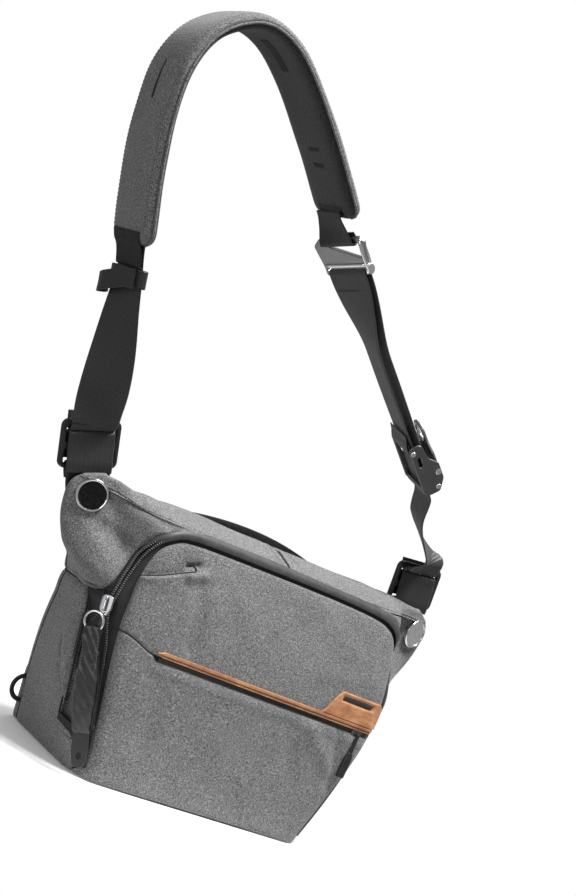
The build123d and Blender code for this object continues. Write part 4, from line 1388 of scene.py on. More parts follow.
make_sides()
make_top()
make_back()
make_rear_pocket()
make_base()
make_lining()
make_dividers()
make_slip_pocket()
make_flap_lower()
make_flap_upper()
make_dart()
make_flap_back()
make_main_zip()
make_pocket()
make_label()


# ---- swivel discs, tabs and buckles -------------------------------------------------------
DISC_X, DISC_Y, DISC_Z, DISC_TURN = 166, -10, 186, 15       # middle of a disc, turned outward
BAR_Y = 3                                                   # bars that the tabs hinge on
LEFT_BAR_X, LEFT_BAR_Z, LEFT_LEAN = -173, 203, 20
RIGHT_BAR_X, RIGHT_BAR_Z, RIGHT_LEAN = 158, 206, 7
STRAP_Y = -8                                                # middle plane of the strap
WEB_W, TAB_W, WEB_T = 36, 34, 1.7                           # webbing, smooth tab, thickness
BUCKLE_W, BUCKLE_H, BUCKLE_T = 47, 36.5, 4.4


def disc_frame(side):
    turn = math.radians(DISC_TURN)
    facing = (math.cos(turn), side * math.sin(turn), 0)
    return plane((side * DISC_X, DISC_Y, DISC_Z), facing, (0, 0, 1))


def bar_frame(x, z, lean):
    turn = math.radians(lean)
    return plane((x, BAR_Y, z), (math.cos(turn), 0, math.sin(turn)), (-math.sin(turn), 0, math.cos(turn)))


LEFT_BAR = bar_frame(LEFT_BAR_X, LEFT_BAR_Z, LEFT_LEAN)
RIGHT_BAR = bar_frame(RIGHT_BAR_X, RIGHT_BAR_Z, RIGHT_LEAN)
DISCS = {-1: disc_frame(-1), 1: disc_frame(1)}


def make_disc(side, word, face_mat):
    m = DISCS[side]
    rim = [(8, 0.2), (12.1, 0.2), (12.35, 0.8), (12.35, 2.6), (12.1, 3.4), (11.6, 3.9), (11.0, 4.0),
           (10.6, 3.8), (10.35, 3.3), (10.3, 2.6), (8, 2.5)]
    finish_piece(lathe(f"{word}_disc_rim", rim, m, 96), CHROME, "bag", [f"{word}_disc_cap"])
    face = [(0.01, 2.0), (10.28, 2.0), (10.28, 2.9), (9.9, 3.15), (6.0, 2.95), (2.0, 2.8),
            (0.6, 2.78), (0.01, 2.78)]
    finish_piece(lathe(f"{word}_disc_face", face, m, 96), face_mat, "bag")
    seat = [(3.6, -0.5), (13.3, -0.5), (13.5, -0.1), (13.2, 0.35), (3.6, 0.4)]
    finish_piece(lathe(f"{word}_disc_seat", seat, m, 72), BUCKLE, "bag")
    collar = [(3.6, -12.5), (8.6, -12.5), (9.0, -12.8), (9.0, -13.2), (8.5, -13.6), (3.9, -13.7),
              (3.6, -13.3)]
    finish_piece(lathe(f"{word}_rear_collar", collar, m, 60), STEEL, "bag", [f"{word}_washer"])
    post = [(0.01, -14.4), (3.0, -14.4), (3.5, -14.0), (3.5, -0.6), (0.01, -0.6)]
    finish_piece(lathe(f"{word}_swivel_post", post, m, 40), STEEL, "bag", [f"{word}_disc_post"])


def make_tab(side, word, bar):
    """Folded tab: held by the disc's post below, round the buckle's bar above."""
    m = DISCS[side]
    low = placed(m, [(0, 0, -10.9)])[0]
    rise = bar[:3, 3] - low
    rise_across = unit(np.cross(rise, m[:3, 2]))
    if rise_across @ bar[:3, 0] < 0:
        rise_across = -rise_across
    wrap = [(0, 0.5, 3.2), (0, 2.5, 2.1), (0, 3.2, 0), (0, 2.5, -2.1), (0, 0.5, -3.2), (0, -4, -2.0),
            (0, -9, 0.2)]
    path = [low - unit(rise) * 12, low - unit(rise) * 6, low, low + rise * 0.45] + list(placed(bar, wrap))
    across = [rise_across] * 3 + [unit(rise_across + bar[:3, 0])] + [bar[:3, 0]] * len(wrap)
    line = catmull(np.concatenate([np.array(path), np.array(across)], 1), 10)
    obj = webbing(f"{word}_swivel_tab", line[:, :3], line[:, 3:], TAB_W, WEB_T, rib_pitch=2.4,
                  depth=0.02)
    finish_piece(obj, TAB_MAT, f"{word}_tab", [f"{word}_tab"])
    face = [(0, -4.5, 4.6), (0, 2, 4.9), (0, 9, 4.1), (0, 17, 3.3), (0, 24, 3.0), (0, 26.4, 1.2),
            (0, 26.2, -1.2), (0, 22, -3.1), (0, 14, -3.3), (0, 5, -3.9)]
    line = catmull(placed(bar, face), 10)
    obj = webbing(f"{word}_tab_face", line, np.broadcast_to(bar[:3, 0], line.shape), 37.0, 1.5, 2.4, 0.02)
    finish_piece(obj, TAB_MAT, f"{word}_strap")


def make_buckle(word, bar):
    """Three-bar slide buckle with softened edges."""
    outline = box_outline(BUCKLE_W, BUCKLE_H, 5.5, 0, 16.35)
    windows = [box_outline(39.6, 10.5, 1.6, 0, 7.15), box_outline(39.6, 11.5, 1.6, 0, 23.25)]
    obj = plate(f"{word}_slide_buckle", [outline] + windows, BUCKLE_T, 1.3, bar)
    finish_piece(obj, BUCKLE, f"{word}_strap", [f"{word}_buckle"])


# ---- strap --------------------------------------------------------------------------------
def strap_line(stops, steps=12):
    """A smooth strap path from stops (x, y, z, heading, twist); returns points and across."""
    line = catmull(stops, steps)
    heading, twist = np.radians(line[:, 3]), np.radians(line[:, 4])
    run = np.stack([np.cos(heading), 0 * heading, np.sin(heading)], 1)
    y = np.array([0, 1.0, 0])
    across = y * np.cos(twist)[:, None] + np.cross(run, y) * np.sin(twist)[:, None]
    return line[:, :3], across


def make_left_strap():
    stops = [(-181, -3.4, 224, 110, 88), (-188, -5.4, 243, 109, 78), (-193, -7, 262, 107, 58),
             (-199.5, -8, 286, 106, 38), (-207, -8, 312, 106, 20), (-214, -8, 338, 106, 6),
             (-219.5, -8, 355, 107, 0), (-224, -8, 368, 108, 0)]
    line, across = strap_line(stops)
    hem = [(0, 40, -4.4), (0, 36, -4.2), (0, 31.5, -3.9), (0, 28.0, -2.6), (0, 26.8, -0.2), (0, 27.4, 2.4),
           (0, 29.2, 4.2), (0, 32, 5.3)]
    hem = catmull(placed(LEFT_BAR, hem), 8)
    bar_x = LEFT_BAR[:3, 0]
    if bar_x @ across[0] < 0:
        bar_x = -bar_x
    keep = (line - LEFT_BAR[:3, 3]) @ LEFT_BAR[:3, 1] > 35.5
    points = np.concatenate([hem, line[keep]])
    sides = np.concatenate([np.broadcast_to(bar_x, hem.shape), across[keep]])
    sides = smooth_rows(sides.copy(), 30)
    obj = webbing("left_strap_webbing", points, sides, WEB_W, WEB_T)
    finish_piece(obj, RIBBED, "left_strap", ["left_webbing"])
    make_keeper()


def make_keeper():
    """Elastic keeper: a flattened loop round the strap with a folded, sewn tail."""
    heading, twist = math.radians(106), math.radians(7)
    run = np.array([math.cos(heading), 0, math.sin(heading)])
    y = np.array([0, 1.0, 0])
    side = y * math.cos(twist) + np.cross(run, y) * math.sin(twist)
    m = plane(np.array([-213.0, STRAP_Y, 334]) + run * 4.5, side, run)
    turn = circle(72)
    c, s = np.cos(turn), np.sin(turn)
    loop = np.stack([20.5 * np.sign(c) * np.abs(c) ** 0.35, 0 * s, 3.4 * np.sign(s) * np.abs(s) ** 0.6], 1)
    line = placed(m, loop)
    _, across, out = line_frames(line, m[:3, 1], closed=True)
    profile = strap_profile(13, 1.3, 5, 0.05)
    obj = sweep("keeper_band", line, across, out, profile, closed=True)
    finish_piece(obj, TAB_MAT, "left_strap", ["keeper_loop"])
    near = 1 if m[:3, 2] @ [-0.56, -0.83, 0] > 0 else -1
    curl = [(-16, 0, 5.0), (-4, -1, 6.0), (9, -4, 7.4), (20, -7, 8.6), (26.5, -9, 6.4), (26, -9, 2.4),
            (21.5, -8, 1.6), (19, -7, 3.6)]
    tail = catmull(placed(m, [(x, y, z * near) for x, y, z in curl]), 8)
    finish_piece(webbing("keeper_tail", tail, np.broadcast_to(m[:3, 1], tail.shape), 14, 1.2, 2.4, 0.02),
                 TAB_MAT, "left_strap")


PAD_LINE = [(-221.5, 361), (-239, 409), (-250, 450), (-253, 486), (-243, 516), (-218, 536.5),
            (-190, 537), (-160, 522), (-118, 490), (-81, 458)]
PAD_HALF = 28.5
PAD_OUT, PAD_IN = 6.2, 4.6             # crowned heights of the pad's two faces
SLIT_SHARE, SLOT_SHARE = 0.275, 0.585   # how far along the pad its slit and its slot start


def pad_frames():
    shown = PAD_LINE[:-1] + [(-77, 454)]
    line = resample(catmull([(x, STRAP_Y, z) for x, z in shown], 24), 2.0)
    _, side, out = line_frames(line, (0, 1, 0))
    out = out if (out[len(out) // 2] @ [0, 0, 1.0]) > 0 else -out
    return line, side, out


def pad_section(half_width, high, low, power=7.0, count=44):
    """Closed cross-section of one face of the pad, crowned outward."""
    s = np.linspace(-1, 1, count)
    top = high * (1 - np.abs(s) ** power) ** 0.5 + 0.5 * np.cos(s * math.pi / 2)
    up = np.stack([s * half_width, top], 1)
    down = np.stack([s[::-1][1:-1] * half_width * 0.985, 0 * s[1:-1] + low], 1)
    return np.concatenate([up, down])


def distance_along(line):
    return np.concatenate([[0], np.linalg.norm(np.diff(line, axis=0), axis=1).cumsum()])


def make_pad():
    line, side, out = pad_frames()
    length = distance_along(line)
    ends = np.minimum(length, length[-1] - length)
    width = 1 - roll(ends, 11) / PAD_HALF
    thick = 0.35 + 0.65 * np.sqrt(np.clip(1 - (1 - np.clip(ends / 7, 0, 1)) ** 2, 0, 1))
    ripple = 1 + 0.035 * np.sin(length / 9.0) * step(ends, 6, 30) + 0.05 * np.sin(length / 23.0)
    for name, sign, high, mat, node, slot in (
            ("pad_outer", 1, PAD_OUT, FABRIC, ["pad_cover", "pad_foam"], "woven_fabric"),
            ("pad_inner", -1, PAD_IN, KNIT, ["pad_lining"], "dark_fabric")):
        base = pad_section(PAD_HALF, high, 0.0)
        profile = base[None] * np.stack([width, sign * thick * ripple], 1)[:, None]
        profile[:, :, 1] += 0.3 * sign
        finish_piece(sweep(name, line, side, out, profile), mat, "left_strap", node)
    for word, edge in (("front", -1), ("back", 1)):
        seam = line + side * (edge * PAD_HALF * width)[:, None]
        seam = seam - out * 0.1
        piping = tube(f"pad_{word}_piping", seam, 1.0, (0, 1, 0), sides=8)
        finish_piece(piping, FABRIC, "left_strap")
        inner = line + side * (edge * (PAD_HALF * width - 4.5))[:, None]
        inner = (inner + out * (5.35 * thick * ripple + 0.35)[:, None])[5:-5]
        finish_piece(stitch_line(f"pad_{word}_stitches", inner, out[5:-5][:1], 3.0, 2.0, 0.2),
                     THREAD, "left_strap")
    pad_details(line, side, out, length)


def pad_patch(name, line, side, out, span, across, height, mat, thick=1.0, sign=1):
    """A patch that lies on the pad between two lengths and two distances across."""
    length = distance_along(line)
    at = np.linspace(span[0], span[1], max(6, int((span[1] - span[0]) / 1.5)))
    pick = lambda v: np.stack([np.interp(at, length, v[:, k]) for k in range(3)], 1)
    p, s, o = pick(line), unit(pick(side)), unit(pick(out))
    q = np.linspace(across[0], across[1], 12)
    edge = np.minimum.outer(np.minimum(at - span[0], span[1] - at), q * 0 + 99)
    edge = np.minimum(edge, np.minimum(q - across[0], across[1] - q)[None])
    h = height - roll(edge, 0.8)
    grid = p[:, None] + s[:, None] * q[None, :, None] + o[:, None] * (sign * h)[..., None]
    n = sign * np.broadcast_to(o[:, None], grid.shape)
    return finish_piece(fix_normals(shell(name, grid, n, thick)), mat, "left_strap")


def start_cap(line, side, out):
    """Folded, sewn webbing where the pad's left end meets the strap."""
    m = plane(line[0], side[0], unit(line[1] - line[0]))
    rows = [(9, 6.9), (8, 7.3), (2, 6.2), (-2, 4.2), (-8, 3.0), (-15, 2.4), (-16, 1.6)]
    path = catmull(placed(m, [(0, y, z * (1 if out[0] @ m[:3, 2] > 0 else -1)) for y, z in rows]), 8)
    finish_piece(webbing("pad_start_cap", path, np.broadcast_to(side[0], path.shape), 41, 1.4, 2.2, 0.02),
                 TAPE, "left_strap")
    for k, row in enumerate((10, 36)):
        bar = path[row] + side[0] * np.linspace(-15, 15, 24)[:, None] + out[0] * 0.8
        finish_piece(stitch_line(f"pad_cap_tack_{k}", bar, out[0][None], 1.4, 1.3, 0.35), DARK_THREAD,
                     "left_strap")


def pad_details(line, side, out, length):
    end = length[-1]
    slit, slot = end * SLIT_SHARE, end * SLOT_SHARE
    pad_patch("pad_outer_slit", line, side, out, (slit, slit + 29), (-1.4, 1.4), 7.1, SEAM)
    # the slot is a raised patch of dark tape: its darkness is painted shade standing in for the slot's opening
    pad_patch("pad_inner_slot", line, side, out, (slot, slot + 34), (-5.5, 5.5), 5.7, TAPE, 1.2, -1)
    for k, at in enumerate((end - 58, end - 45)):
        pad_patch(f"pad_inner_bar_{k}", line, side, out, (at, at + 5), (-8, 8), 5.8, TAPE, 1.2, -1)
    pad_patch("pad_end_box", line, side, out, (end - 15, end - 3), (-19, 19), 5.3, TAPE, 1.2, -1)
    pad_patch("pad_start_box", line, side, out, (3, 15), (-19, 19), 5.3, TAPE, 1.2, -1)
    start_cap(line, side, out)
    for name, a in (("pad_end_tack", end - 11), ("pad_end_tack_low", end - 6), ("pad_start_tack", 9.5)):
        i = int(np.searchsorted(length, a))
        points = line[i] + side[i] * np.linspace(-15, 15, 24)[:, None] - out[i] * 5.5
        stitches = stitch_line(name, points, -out[i][None], 1.4, 1.3, 0.3)
        finish_piece(stitches, DARK_THREAD, "left_strap")


# ---- doubled webbing, hook and cam buckle -------------------------------------------------
RUN_START, RUN_END = np.array([92.0, STRAP_Y, 316]), np.array([-46.0, STRAP_Y, 421])
RUN_AXIS = unit(RUN_END - RUN_START)
RUN_LENGTH = float(np.linalg.norm(RUN_END - RUN_START))


def turned(v, axis, degrees):
    t = math.radians(degrees)
    v = np.asarray(v, float)
    return v * math.cos(t) + np.cross(axis, v) * math.sin(t) + axis * (axis @ v) * (1 - math.cos(t))


HOOK_TURN, CAM_TURN, TWIST_LOW, TWIST_HIGH = 20.0, -15.0, 100.0, 170.0
RUN_SIDE = turned([0, 1.0, 0], RUN_AXIS, HOOK_TURN)
CAM_SIDE = turned([0, 1.0, 0], RUN_AXIS, CAM_TURN)
CAM = plane(RUN_START, CAM_SIDE, RUN_AXIS)
HOOK_FRAME = plane(RUN_END, RUN_SIDE, RUN_AXIS)
PIN_FRAME = plane(placed(CAM, [(0, -6, 9.3)])[0], CAM_SIDE, RUN_AXIS)


def run_points(stops):
    """Points and across directions on the doubled webbing, from (along, out) stops."""
    points, sides = [], []
    for y, out in stops:
        share = step(y, TWIST_LOW, TWIST_HIGH)
        side = turned([0, 1.0, 0], RUN_AXIS, CAM_TURN + (HOOK_TURN - CAM_TURN) * share)
        points.append(RUN_START + RUN_AXIS * y + np.cross(side, RUN_AXIS) * out)
        sides.append(side)
    return np.array(points), np.array(sides)


def make_right_strap():
    top = RUN_LENGTH
    bow = lambda y: math.sin(math.pi * min(max((y - 20) / 130, 0), 1))
    outer = [(y, 3.2 + 0.6 * bow(y)) for y in np.linspace(-18, top - 4, 50)]
    loop = [(top + 3.2 * math.sin(a), 3.2 * math.cos(a)) for a in np.linspace(0, math.pi, 13)]
    inner = [(y, -3.2 - 0.8 * bow(y)) for y in np.linspace(top - 4, -30, 50)]
    points, sides = run_points(outer + loop + inner)
    stops = [(106, -7.6, 298, -37, 15), (120, -8, 272, -42, 22), (136, -7.5, 258, -56, 31),
             (147.5, -7, 249, -70, 42), (152.2, -6.5, 242, -80, 66)]
    tail, across = strap_line(stops, 10)
    bar_x = RIGHT_BAR[:3, 0]
    hem = [(0, 34.5, 4.4), (0, 30.5, 4.0), (0, 27.8, 2.4), (0, 26.8, 0), (0, 27.8, -2.4), (0, 31.5, -3.9),
           (0, 37, -4.4)]
    hem = catmull(placed(RIGHT_BAR, hem), 8)
    across = across * np.sign((across * (CAM_SIDE if across[0] @ CAM_SIDE > 0 else -CAM_SIDE)).sum(1))[0]
    hem_side = bar_x if bar_x @ across[-1] > 0 else -bar_x
    line = np.concatenate([np.concatenate([points, tail[8:], hem]),
                           np.concatenate([sides, across[8:], np.broadcast_to(hem_side, hem.shape)])], 1)
    line = resample(line, 2.0)
    joint = int(len(line) * 0.74)
    line[joint:] = smooth_rows(line[joint:].copy(), 6)
    obj = webbing("right_strap_webbing", line[:, :3], unit(line[:, 3:]), WEB_W, WEB_T, 1.4, 0.04, 7)
    finish_piece(obj, SEATBELT, "right_strap", ["doubled_webbing", "right_webbing"])
    tack = placed(HOOK_FRAME, [(x, -14, -4.2) for x in np.linspace(-15, 15, 24)])
    stitches = stitch_line("strap_loop_tack", tack, -HOOK_FRAME[:3, 2][None], 1.3, 1.2, 0.28)
    finish_piece(stitches, DARK_THREAD, "right_strap")


def make_tongue():
    """Webbing from the pad's right end to the hook's upper bar."""
    line = [(0, 52, -0.5), (0, 48, -1.0), (0, 44, -1.4), (0, 38, -2.0), (0, 32, -3.2), (0, 27.2, -4.0),
            (0, 24.6, -3.2), (0, 23.8, -0.6), (0, 24.8, 1.9), (0, 28, 2.4), (0, 33, 1.2)]
    path = catmull(placed(HOOK_FRAME, line), 10)
    t = np.linspace(0, 1, len(path))[:, None]
    sides = unit(np.array([0, 1.0, 0]) * (1 - step(t, 0.1, 0.6)) + RUN_SIDE * step(t, 0.1, 0.6))
    obj = webbing("hook_tongue", path, sides, 33, 1.6, 1.8, 0.05)
    finish_piece(obj, TAB_MAT, "left_strap", ["pad_end_webbing"])


def make_hook():
    outline = rounded([(21.5, 6), (25, 24), (18, 30), (-21, 30), (-25, 26), (-21.5, 14), (-21.5, -1.5),
                       (21.5, -1.5)], [6, 4, 5, 4, 3, 6, 2, 2], 6)
    low = box_outline(38.5, 3.6, 1.2, 0, 3.9)
    high = rounded([(17.5, 25.6), (-18.6, 26.2), (-18.6, 12.2)], [1.6, 1.6, 1.6], 6)
    finish_piece(plate("hook_plate", [outline, low, high], 3.4, 0.7, HOOK_FRAME), ALUMINIUM, "metal_hook",
                 ["metal_hook"])
    bar = placed(HOOK_FRAME, [(x, 0, 0) for x in np.linspace(-20.5, 20.5, 12)])
    finish_piece(tube("hook_lower_bar", bar, 2.0, (0, 1, 0), sides=24), CHROME, "metal_hook")
    lip = placed(HOOK_FRAME, [(x, 7.0, -2.2) for x in np.linspace(-19.5, 19.5, 12)])
    finish_piece(tube("hook_lip", lip, 1.2, (0, 1, 0), sides=20), CHROME, "metal_hook")
    a = circle(64)
    link = np.stack([-22.2 + 1.2 * np.sin(a), 14.5 + 13.5 * np.cos(a), -1.4 + 4.2 * np.sin(a)], 1)
    ring = placed(HOOK_FRAME, link)
    finish_piece(tube("hook_side_link", ring, 1.15, (1, 0, 0), closed=True, sides=14), CHROME, "metal_hook")
    m = plane(placed(HOOK_FRAME, [(-22.2, 3.2, -1.0)])[0], HOOK_FRAME[:3, 1], HOOK_FRAME[:3, 2])
    cap = [(0.01, -1.5), (3.6, -1.5), (4.2, -0.9), (4.2, 0.9), (3.6, 1.5), (0.01, 1.5)]
    finish_piece(lathe("hook_side_cap", cap, m, 40), CHROME, "metal_hook")


def make_cam():
    side_outline = rounded([(-10, -23), (4, -23), (10.2, -13), (10.2, 1), (3, 9), (1, 23), (-10, 23)],
                           [5, 5, 5, 4, 6, 4, 4], 8)
    for word, x in (("near", -20.25), ("far", 20.25)):
        m = plane(placed(CAM, [(x, 0, 2)])[0], CAM[:3, 2], CAM[:3, 1])
        holes = [ring_outline(1.7, 7.3, -6.0, 24), box_outline(3.2, 9, 1.5, -4.6, 8)]
        wall = plate(f"cam_side_{word}", [side_outline] + holes, 2.5, 0.7, m)
        finish_piece(wall, GUNMETAL, "cam_buckle", ["cam_buckle"] if word == "near" else ())
        sign = -1 if x < 0 else 1
        for k, (y, z) in enumerate(((-18.5, 5.6), (17.5, -5.4))):
            foot = placed(CAM, [(x + sign * 1.1, y, z)])[0]
            screw = plane(foot, CAM[:3, 1], CAM[:3, 2] * sign)
            head = [(0.01, 0), (2.3, 0), (2.3, 0.5), (1.7, 1.1), (1.0, 1.2), (0.9, 0.7), (0.01, 0.7)]
            finish_piece(lathe(f"cam_screw_{word}_{k}", head, screw, 28), STEEL, "cam_buckle")
    for k, (y, z, width) in enumerate(((-19, -6.4, 6), (19, -6.2, 4.5), (-19.5, 6.4, 5))):
        m = plane(placed(CAM, [(0, y, z)])[0], CAM[:3, 0], CAM[:3, 1])
        bar = plate(f"cam_bar_{k}", [box_outline(38.4, width, 1.8)], 1.8, 0.6, m)
        finish_piece(bar, GUNMETAL, "cam_buckle")
    fold = [(0, 24, -5.7), (0, 22.6, -5.8), (0, 15.5, -5.8), (0, 15.2, -6.6), (0, 16.5, -7.6), (0, 19, -8.1),
            (0, 24, -7.8), (0, 28, -6.6), (0, 33, -5.9)]
    path = catmull(placed(CAM, fold), 8)
    sides = np.broadcast_to(CAM_SIDE, path.shape)
    folded = webbing("cam_sewn_fold", path, sides, 35, 1.0, 1.4, 0.03, 7)
    finish_piece(folded, SEATBELT, "cam_buckle")
    tack = placed(CAM, [(x, 29, -6.3) for x in np.linspace(-15.5, 15.5, 24)])
    stitches = stitch_line("cam_fold_tack", tack, -CAM[:3, 2][None], 1.3, 1.2, 0.28)
    finish_piece(stitches, DARK_THREAD, "cam_buckle")
    pin = plane(PIN_FRAME[:3, 3] - CAM_SIDE * 22.6, RUN_AXIS, np.cross(CAM_SIDE, RUN_AXIS))
    pin = pin if pin[:3, 2] @ CAM_SIDE > 0 else plane(pin[:3, 3], -pin[:3, 0], pin[:3, 1])
    profile = [(0.01, -0.2), (1.7, -0.2), (2.6, 0.3), (2.6, 1.0), (1.5, 1.15), (1.5, 44.0), (2.6, 44.2),
               (2.6, 44.9), (1.7, 45.4), (0.01, 45.4)]
    finish_piece(lathe("cam_axle", profile, pin, 32), STEEL, "cam_buckle", ["cam_pin"])
    make_lever()


def make_lever():
    """Aluminium lever with a finger ring, toothed hub on the pin."""
    outline = rounded([(-16.5, -0.5), (16.5, -0.5), (16.5, 14), (10.5, 24), (9.5, 38.5), (-9.5, 38.5),
                       (-10.5, 24), (-16.5, 14)], [2, 2, 5, 8, 8, 8, 8, 5], 8)
    finger = ring_outline(6.6, 0, 28.5, 40)
    slots = [box_outline(2.4, 11, 1.2, x, 9.5) for x in (-9, 0, 9)]
    obj = plate("cam_lever_plate", [outline, finger] + slots, 2.0, 0.6, PIN_FRAME, 2.2)
    finish_piece(obj, ALUMINIUM, "cam_lever", ["cam_lever"])
    t = circle(120)
    gear = np.stack([np.cos(t), np.sin(t)], 1) * (2.95 + 0.25 * np.sign(np.sin(12 * t)))[:, None]
    along = plane(PIN_FRAME[:3, 3], RUN_AXIS, PIN_FRAME[:3, 2])
    obj = plate("cam_lever_hub", [gear, ring_outline(1.75, 0, 0, 32)], 33, 0.15, along)
    finish_piece(obj, ALUMINIUM, "cam_lever")
    place = plane(placed(PIN_FRAME, [(0, 28.5, 0)])[0], CAM_SIDE, RUN_AXIS)
    turn = circle(60)
    line = placed(place, [(7.9 * math.cos(a), 7.9 * math.sin(a), 2.2) for a in turn])
    finish_piece(tube("cam_lever_ring", line, 1.45, PIN_FRAME[:3, 2], closed=True, sides=14), CHROME,
                 "cam_lever")


# ---- zip sliders and pulls ----------------------------------------------------------------
def frame_at(origin, along, facing):
    y = unit(along)
    z = unit(np.asarray(facing) - y * (np.asarray(facing) @ y))
    return plane(origin, np.cross(y, z), y)


FACING = (-0.74, -0.67, 0)
TRACK = frame_at((-139.2, -51.6, 121), (-0.03, 0.26, 0.96), FACING)
PULL = frame_at((-144.6, -54.5, 108), (-23, 12.5, 76), FACING)


def make_main_slider():
    outline = rounded([(-2.4, -7.6), (2.4, -7.6), (4.6, -2), (4.6, 6.2), (2.0, 7.6), (-2.0, 7.6),
                       (-4.6, 6.2), (-4.6, -2)], [1.8, 1.8, 2, 2, 1.6, 1.6, 2, 2], 6)
    top = plate("main_slider_top", [outline], 1.5, 0.6, TRACK, 1.0)
    finish_piece(top, NICKEL, "main_slider", ["main_zip_slider"])
    base = plate("main_slider_base", [outline * 0.96], 1.2, 0.5, TRACK, -0.9)
    finish_piece(base, STEEL, "main_slider")
    arch = [(0, 5.4, 1.4), (0, 5.2, 3.4), (0, 2.5, 4.4), (0, -1.5, 4.4), (0, -5.0, 3.6), (0, -6.0, 1.4)]
    bail = tube("main_slider_bail", catmull(placed(TRACK, arch), 8), 0.95, TRACK[:3, 0], sides=12)
    finish_piece(bail, CHROME, "main_slider")


def make_main_pull():
    """D-ring, crumpled film-faced strap folded on itself, and an eyelet tail."""
    turn = np.linspace(-0.22 * math.pi, 1.22 * math.pi, 40)
    ring = [(7.1 * math.cos(t), 7.1 * math.sin(t), 0) for t in turn]
    base = [(x, -4.6, 0) for x in np.linspace(-5.2, 5.2, 8)]
    line = placed(PULL, ring + base)
    d_ring = tube("main_pull_d_ring", line, 0.85, PULL[:3, 2], closed=True, sides=12)
    finish_piece(d_ring, CHROME, "main_pull", ["main_pull_ring"])
    path = catmull([(0, -12, -1.0), (0, -6.5, -0.9), (0, -3.4, 0.2), (0, -6.5, 1.3), (0, -22, 1.9), (0, -40, 2.5),
                    (0, -62, 3.4), (0, -75, 3.0), (0, -80, 1.0), (0, -76.5, -1.0), (0, -60, -1.3), (0, -38, -1.1),
                    (0, -22, -0.9)], 10)
    path = resample(path, 1.0)
    wander = 0.8 * np.sin(path[:, 1] / 9.0) + 0.4 * np.sin(path[:, 1] / 3.7)
    line = placed(PULL, path + np.stack([0.25 * wander, 0 * wander, 0.35 * wander], 1))
    _, side, out = line_frames(line, PULL[:3, 0])
    base = strap_profile(1, 1.2, 5, 0.0)
    half = 5.9 + 2.3 * np.clip(np.sin(-(path[:, 1] + 20) / 62 * math.pi), 0, 1)
    run, across = path[:, 1, None], base[None, :, 0]
    crease = 0.5 * np.sin(run / 2.3 + 5 * across) * np.cos(9 * across + run / 6)
    profile = np.stack([across * 2 * half[:, None], base[None, :, 1] + 0.5 * crease], 2)
    strap = sweep("main_pull_folded_strap", line, side, out, profile)
    finish_piece(strap, FILM, "main_pull", ["main_pull_strap"])
    outline = rounded([(-4.6, -104.5), (4.6, -104.5), (6.4, -92), (5.4, -76), (-5.4, -76), (-6.4, -92)],
                      [4.4, 4.4, 8, 2, 2, 8], 8)
    eye = ring_outline(2.6, 0, -96, 32) * [0.85, 1.0]
    tail = plate("main_pull_eyelet_tail", [outline, eye], 1.6, 0.45, PULL)
    finish_piece(tail, TAB_MAT, "main_pull", ["main_pull_tail"])
    t = circle(36)
    rim = placed(PULL, np.stack([2.5 * np.cos(t), -96 + 3.0 * np.sin(t), 0 * t], 1))
    eyelet = tube("main_pull_eyelet", rim, 0.75, PULL[:3, 2], closed=True, sides=10)
    finish_piece(eyelet, BUCKLE, "main_pull")
    for word, x in (("left", -5.6), ("right", 5.6)):
        seam = placed(PULL, [(x + 0.3 * math.sin(y / 5), y, 2.9) for y in np.linspace(-10, -60, 30)])
        stitches = stitch_line(f"main_pull_stitches_{word}", seam, PULL[:3, 2][None], 2.4, 1.6, 0.2)
        finish_piece(stitches, THREAD, "main_pull")


def make_pocket_pull():
    m = plane((108, -66.9, 100), (1, 0, 0), (0, 0, 1))
    outline = rounded([(-5, -1.8), (-2, -3.2), (5, -3.2), (5, 3.2), (-2, 3.2), (-5, 1.8)], [1.2] * 6, 6)
    top = plate("pocket_slider_top", [outline], 1.1, 0.4, m, 0.8)
    finish_piece(top, GUNMETAL, "pocket_slider", ["pocket_zip_slider"])
    y = -69.7
    for k, x in enumerate((108.2, 109.8)):
        cord = catmull([(109, y - 0.2, 99.3), (x - 0.1, y, 97), (x, y - 0.3, 91),
                        (x + 0.1, y - 0.6, 84), (x, y - 0.8, 80)], 10)
        finish_piece(tube(f"pocket_pull_cord_{k}", cord, 0.85, (1, 0, 0), sides=10), BUCKLE, "pocket_pull",
                     ["pocket_pull_cord"] if k == 0 else ())
    m = plane((109, -70.3, 73.6), (1, 0, 0), (0, 0.02, 1))
    outline = rounded([(-3.4, -10.6), (3.4, -10.6), (3.6, 6), (1.9, 10.6), (-1.9, 10.6), (-3.6, 6)],
                      [1.2, 1.2, 3, 1.2, 1.2, 3], 6)
    finish_piece(plate("pocket_pull_grip", [outline], 3.0, 1.0, m), BUCKLE, "pocket_pull",
                 ["pocket_pull_tab"])
    for k in range(5):
        rib = [(x, -71.9, 68 + 2.6 * k) for x in np.linspace(106.7, 111.3, 6)]
        finish_piece(tube(f"pocket_pull_rib_{k}", rib, 0.35, (0, 0, 1), sides=8), SEAM, "pocket_pull")


def make_loops():
    """Cord loops for a carry strap at the lower back corners."""
    for side, word in SIDES:
        turn = np.linspace(-0.58 * math.pi, 0.58 * math.pi, 40)
        line = [(side * (117.0 + 9.7 * math.cos(t)), 44.0, 26 + 9.7 * math.sin(t)) for t in turn]
        finish_piece(tube(f"{word}_carry_loop", line, 1.3, (0, 1, 0), sides=12, flat=1.45), TAB_MAT, "bag",
                     [f"accessory_loop_{word}"])


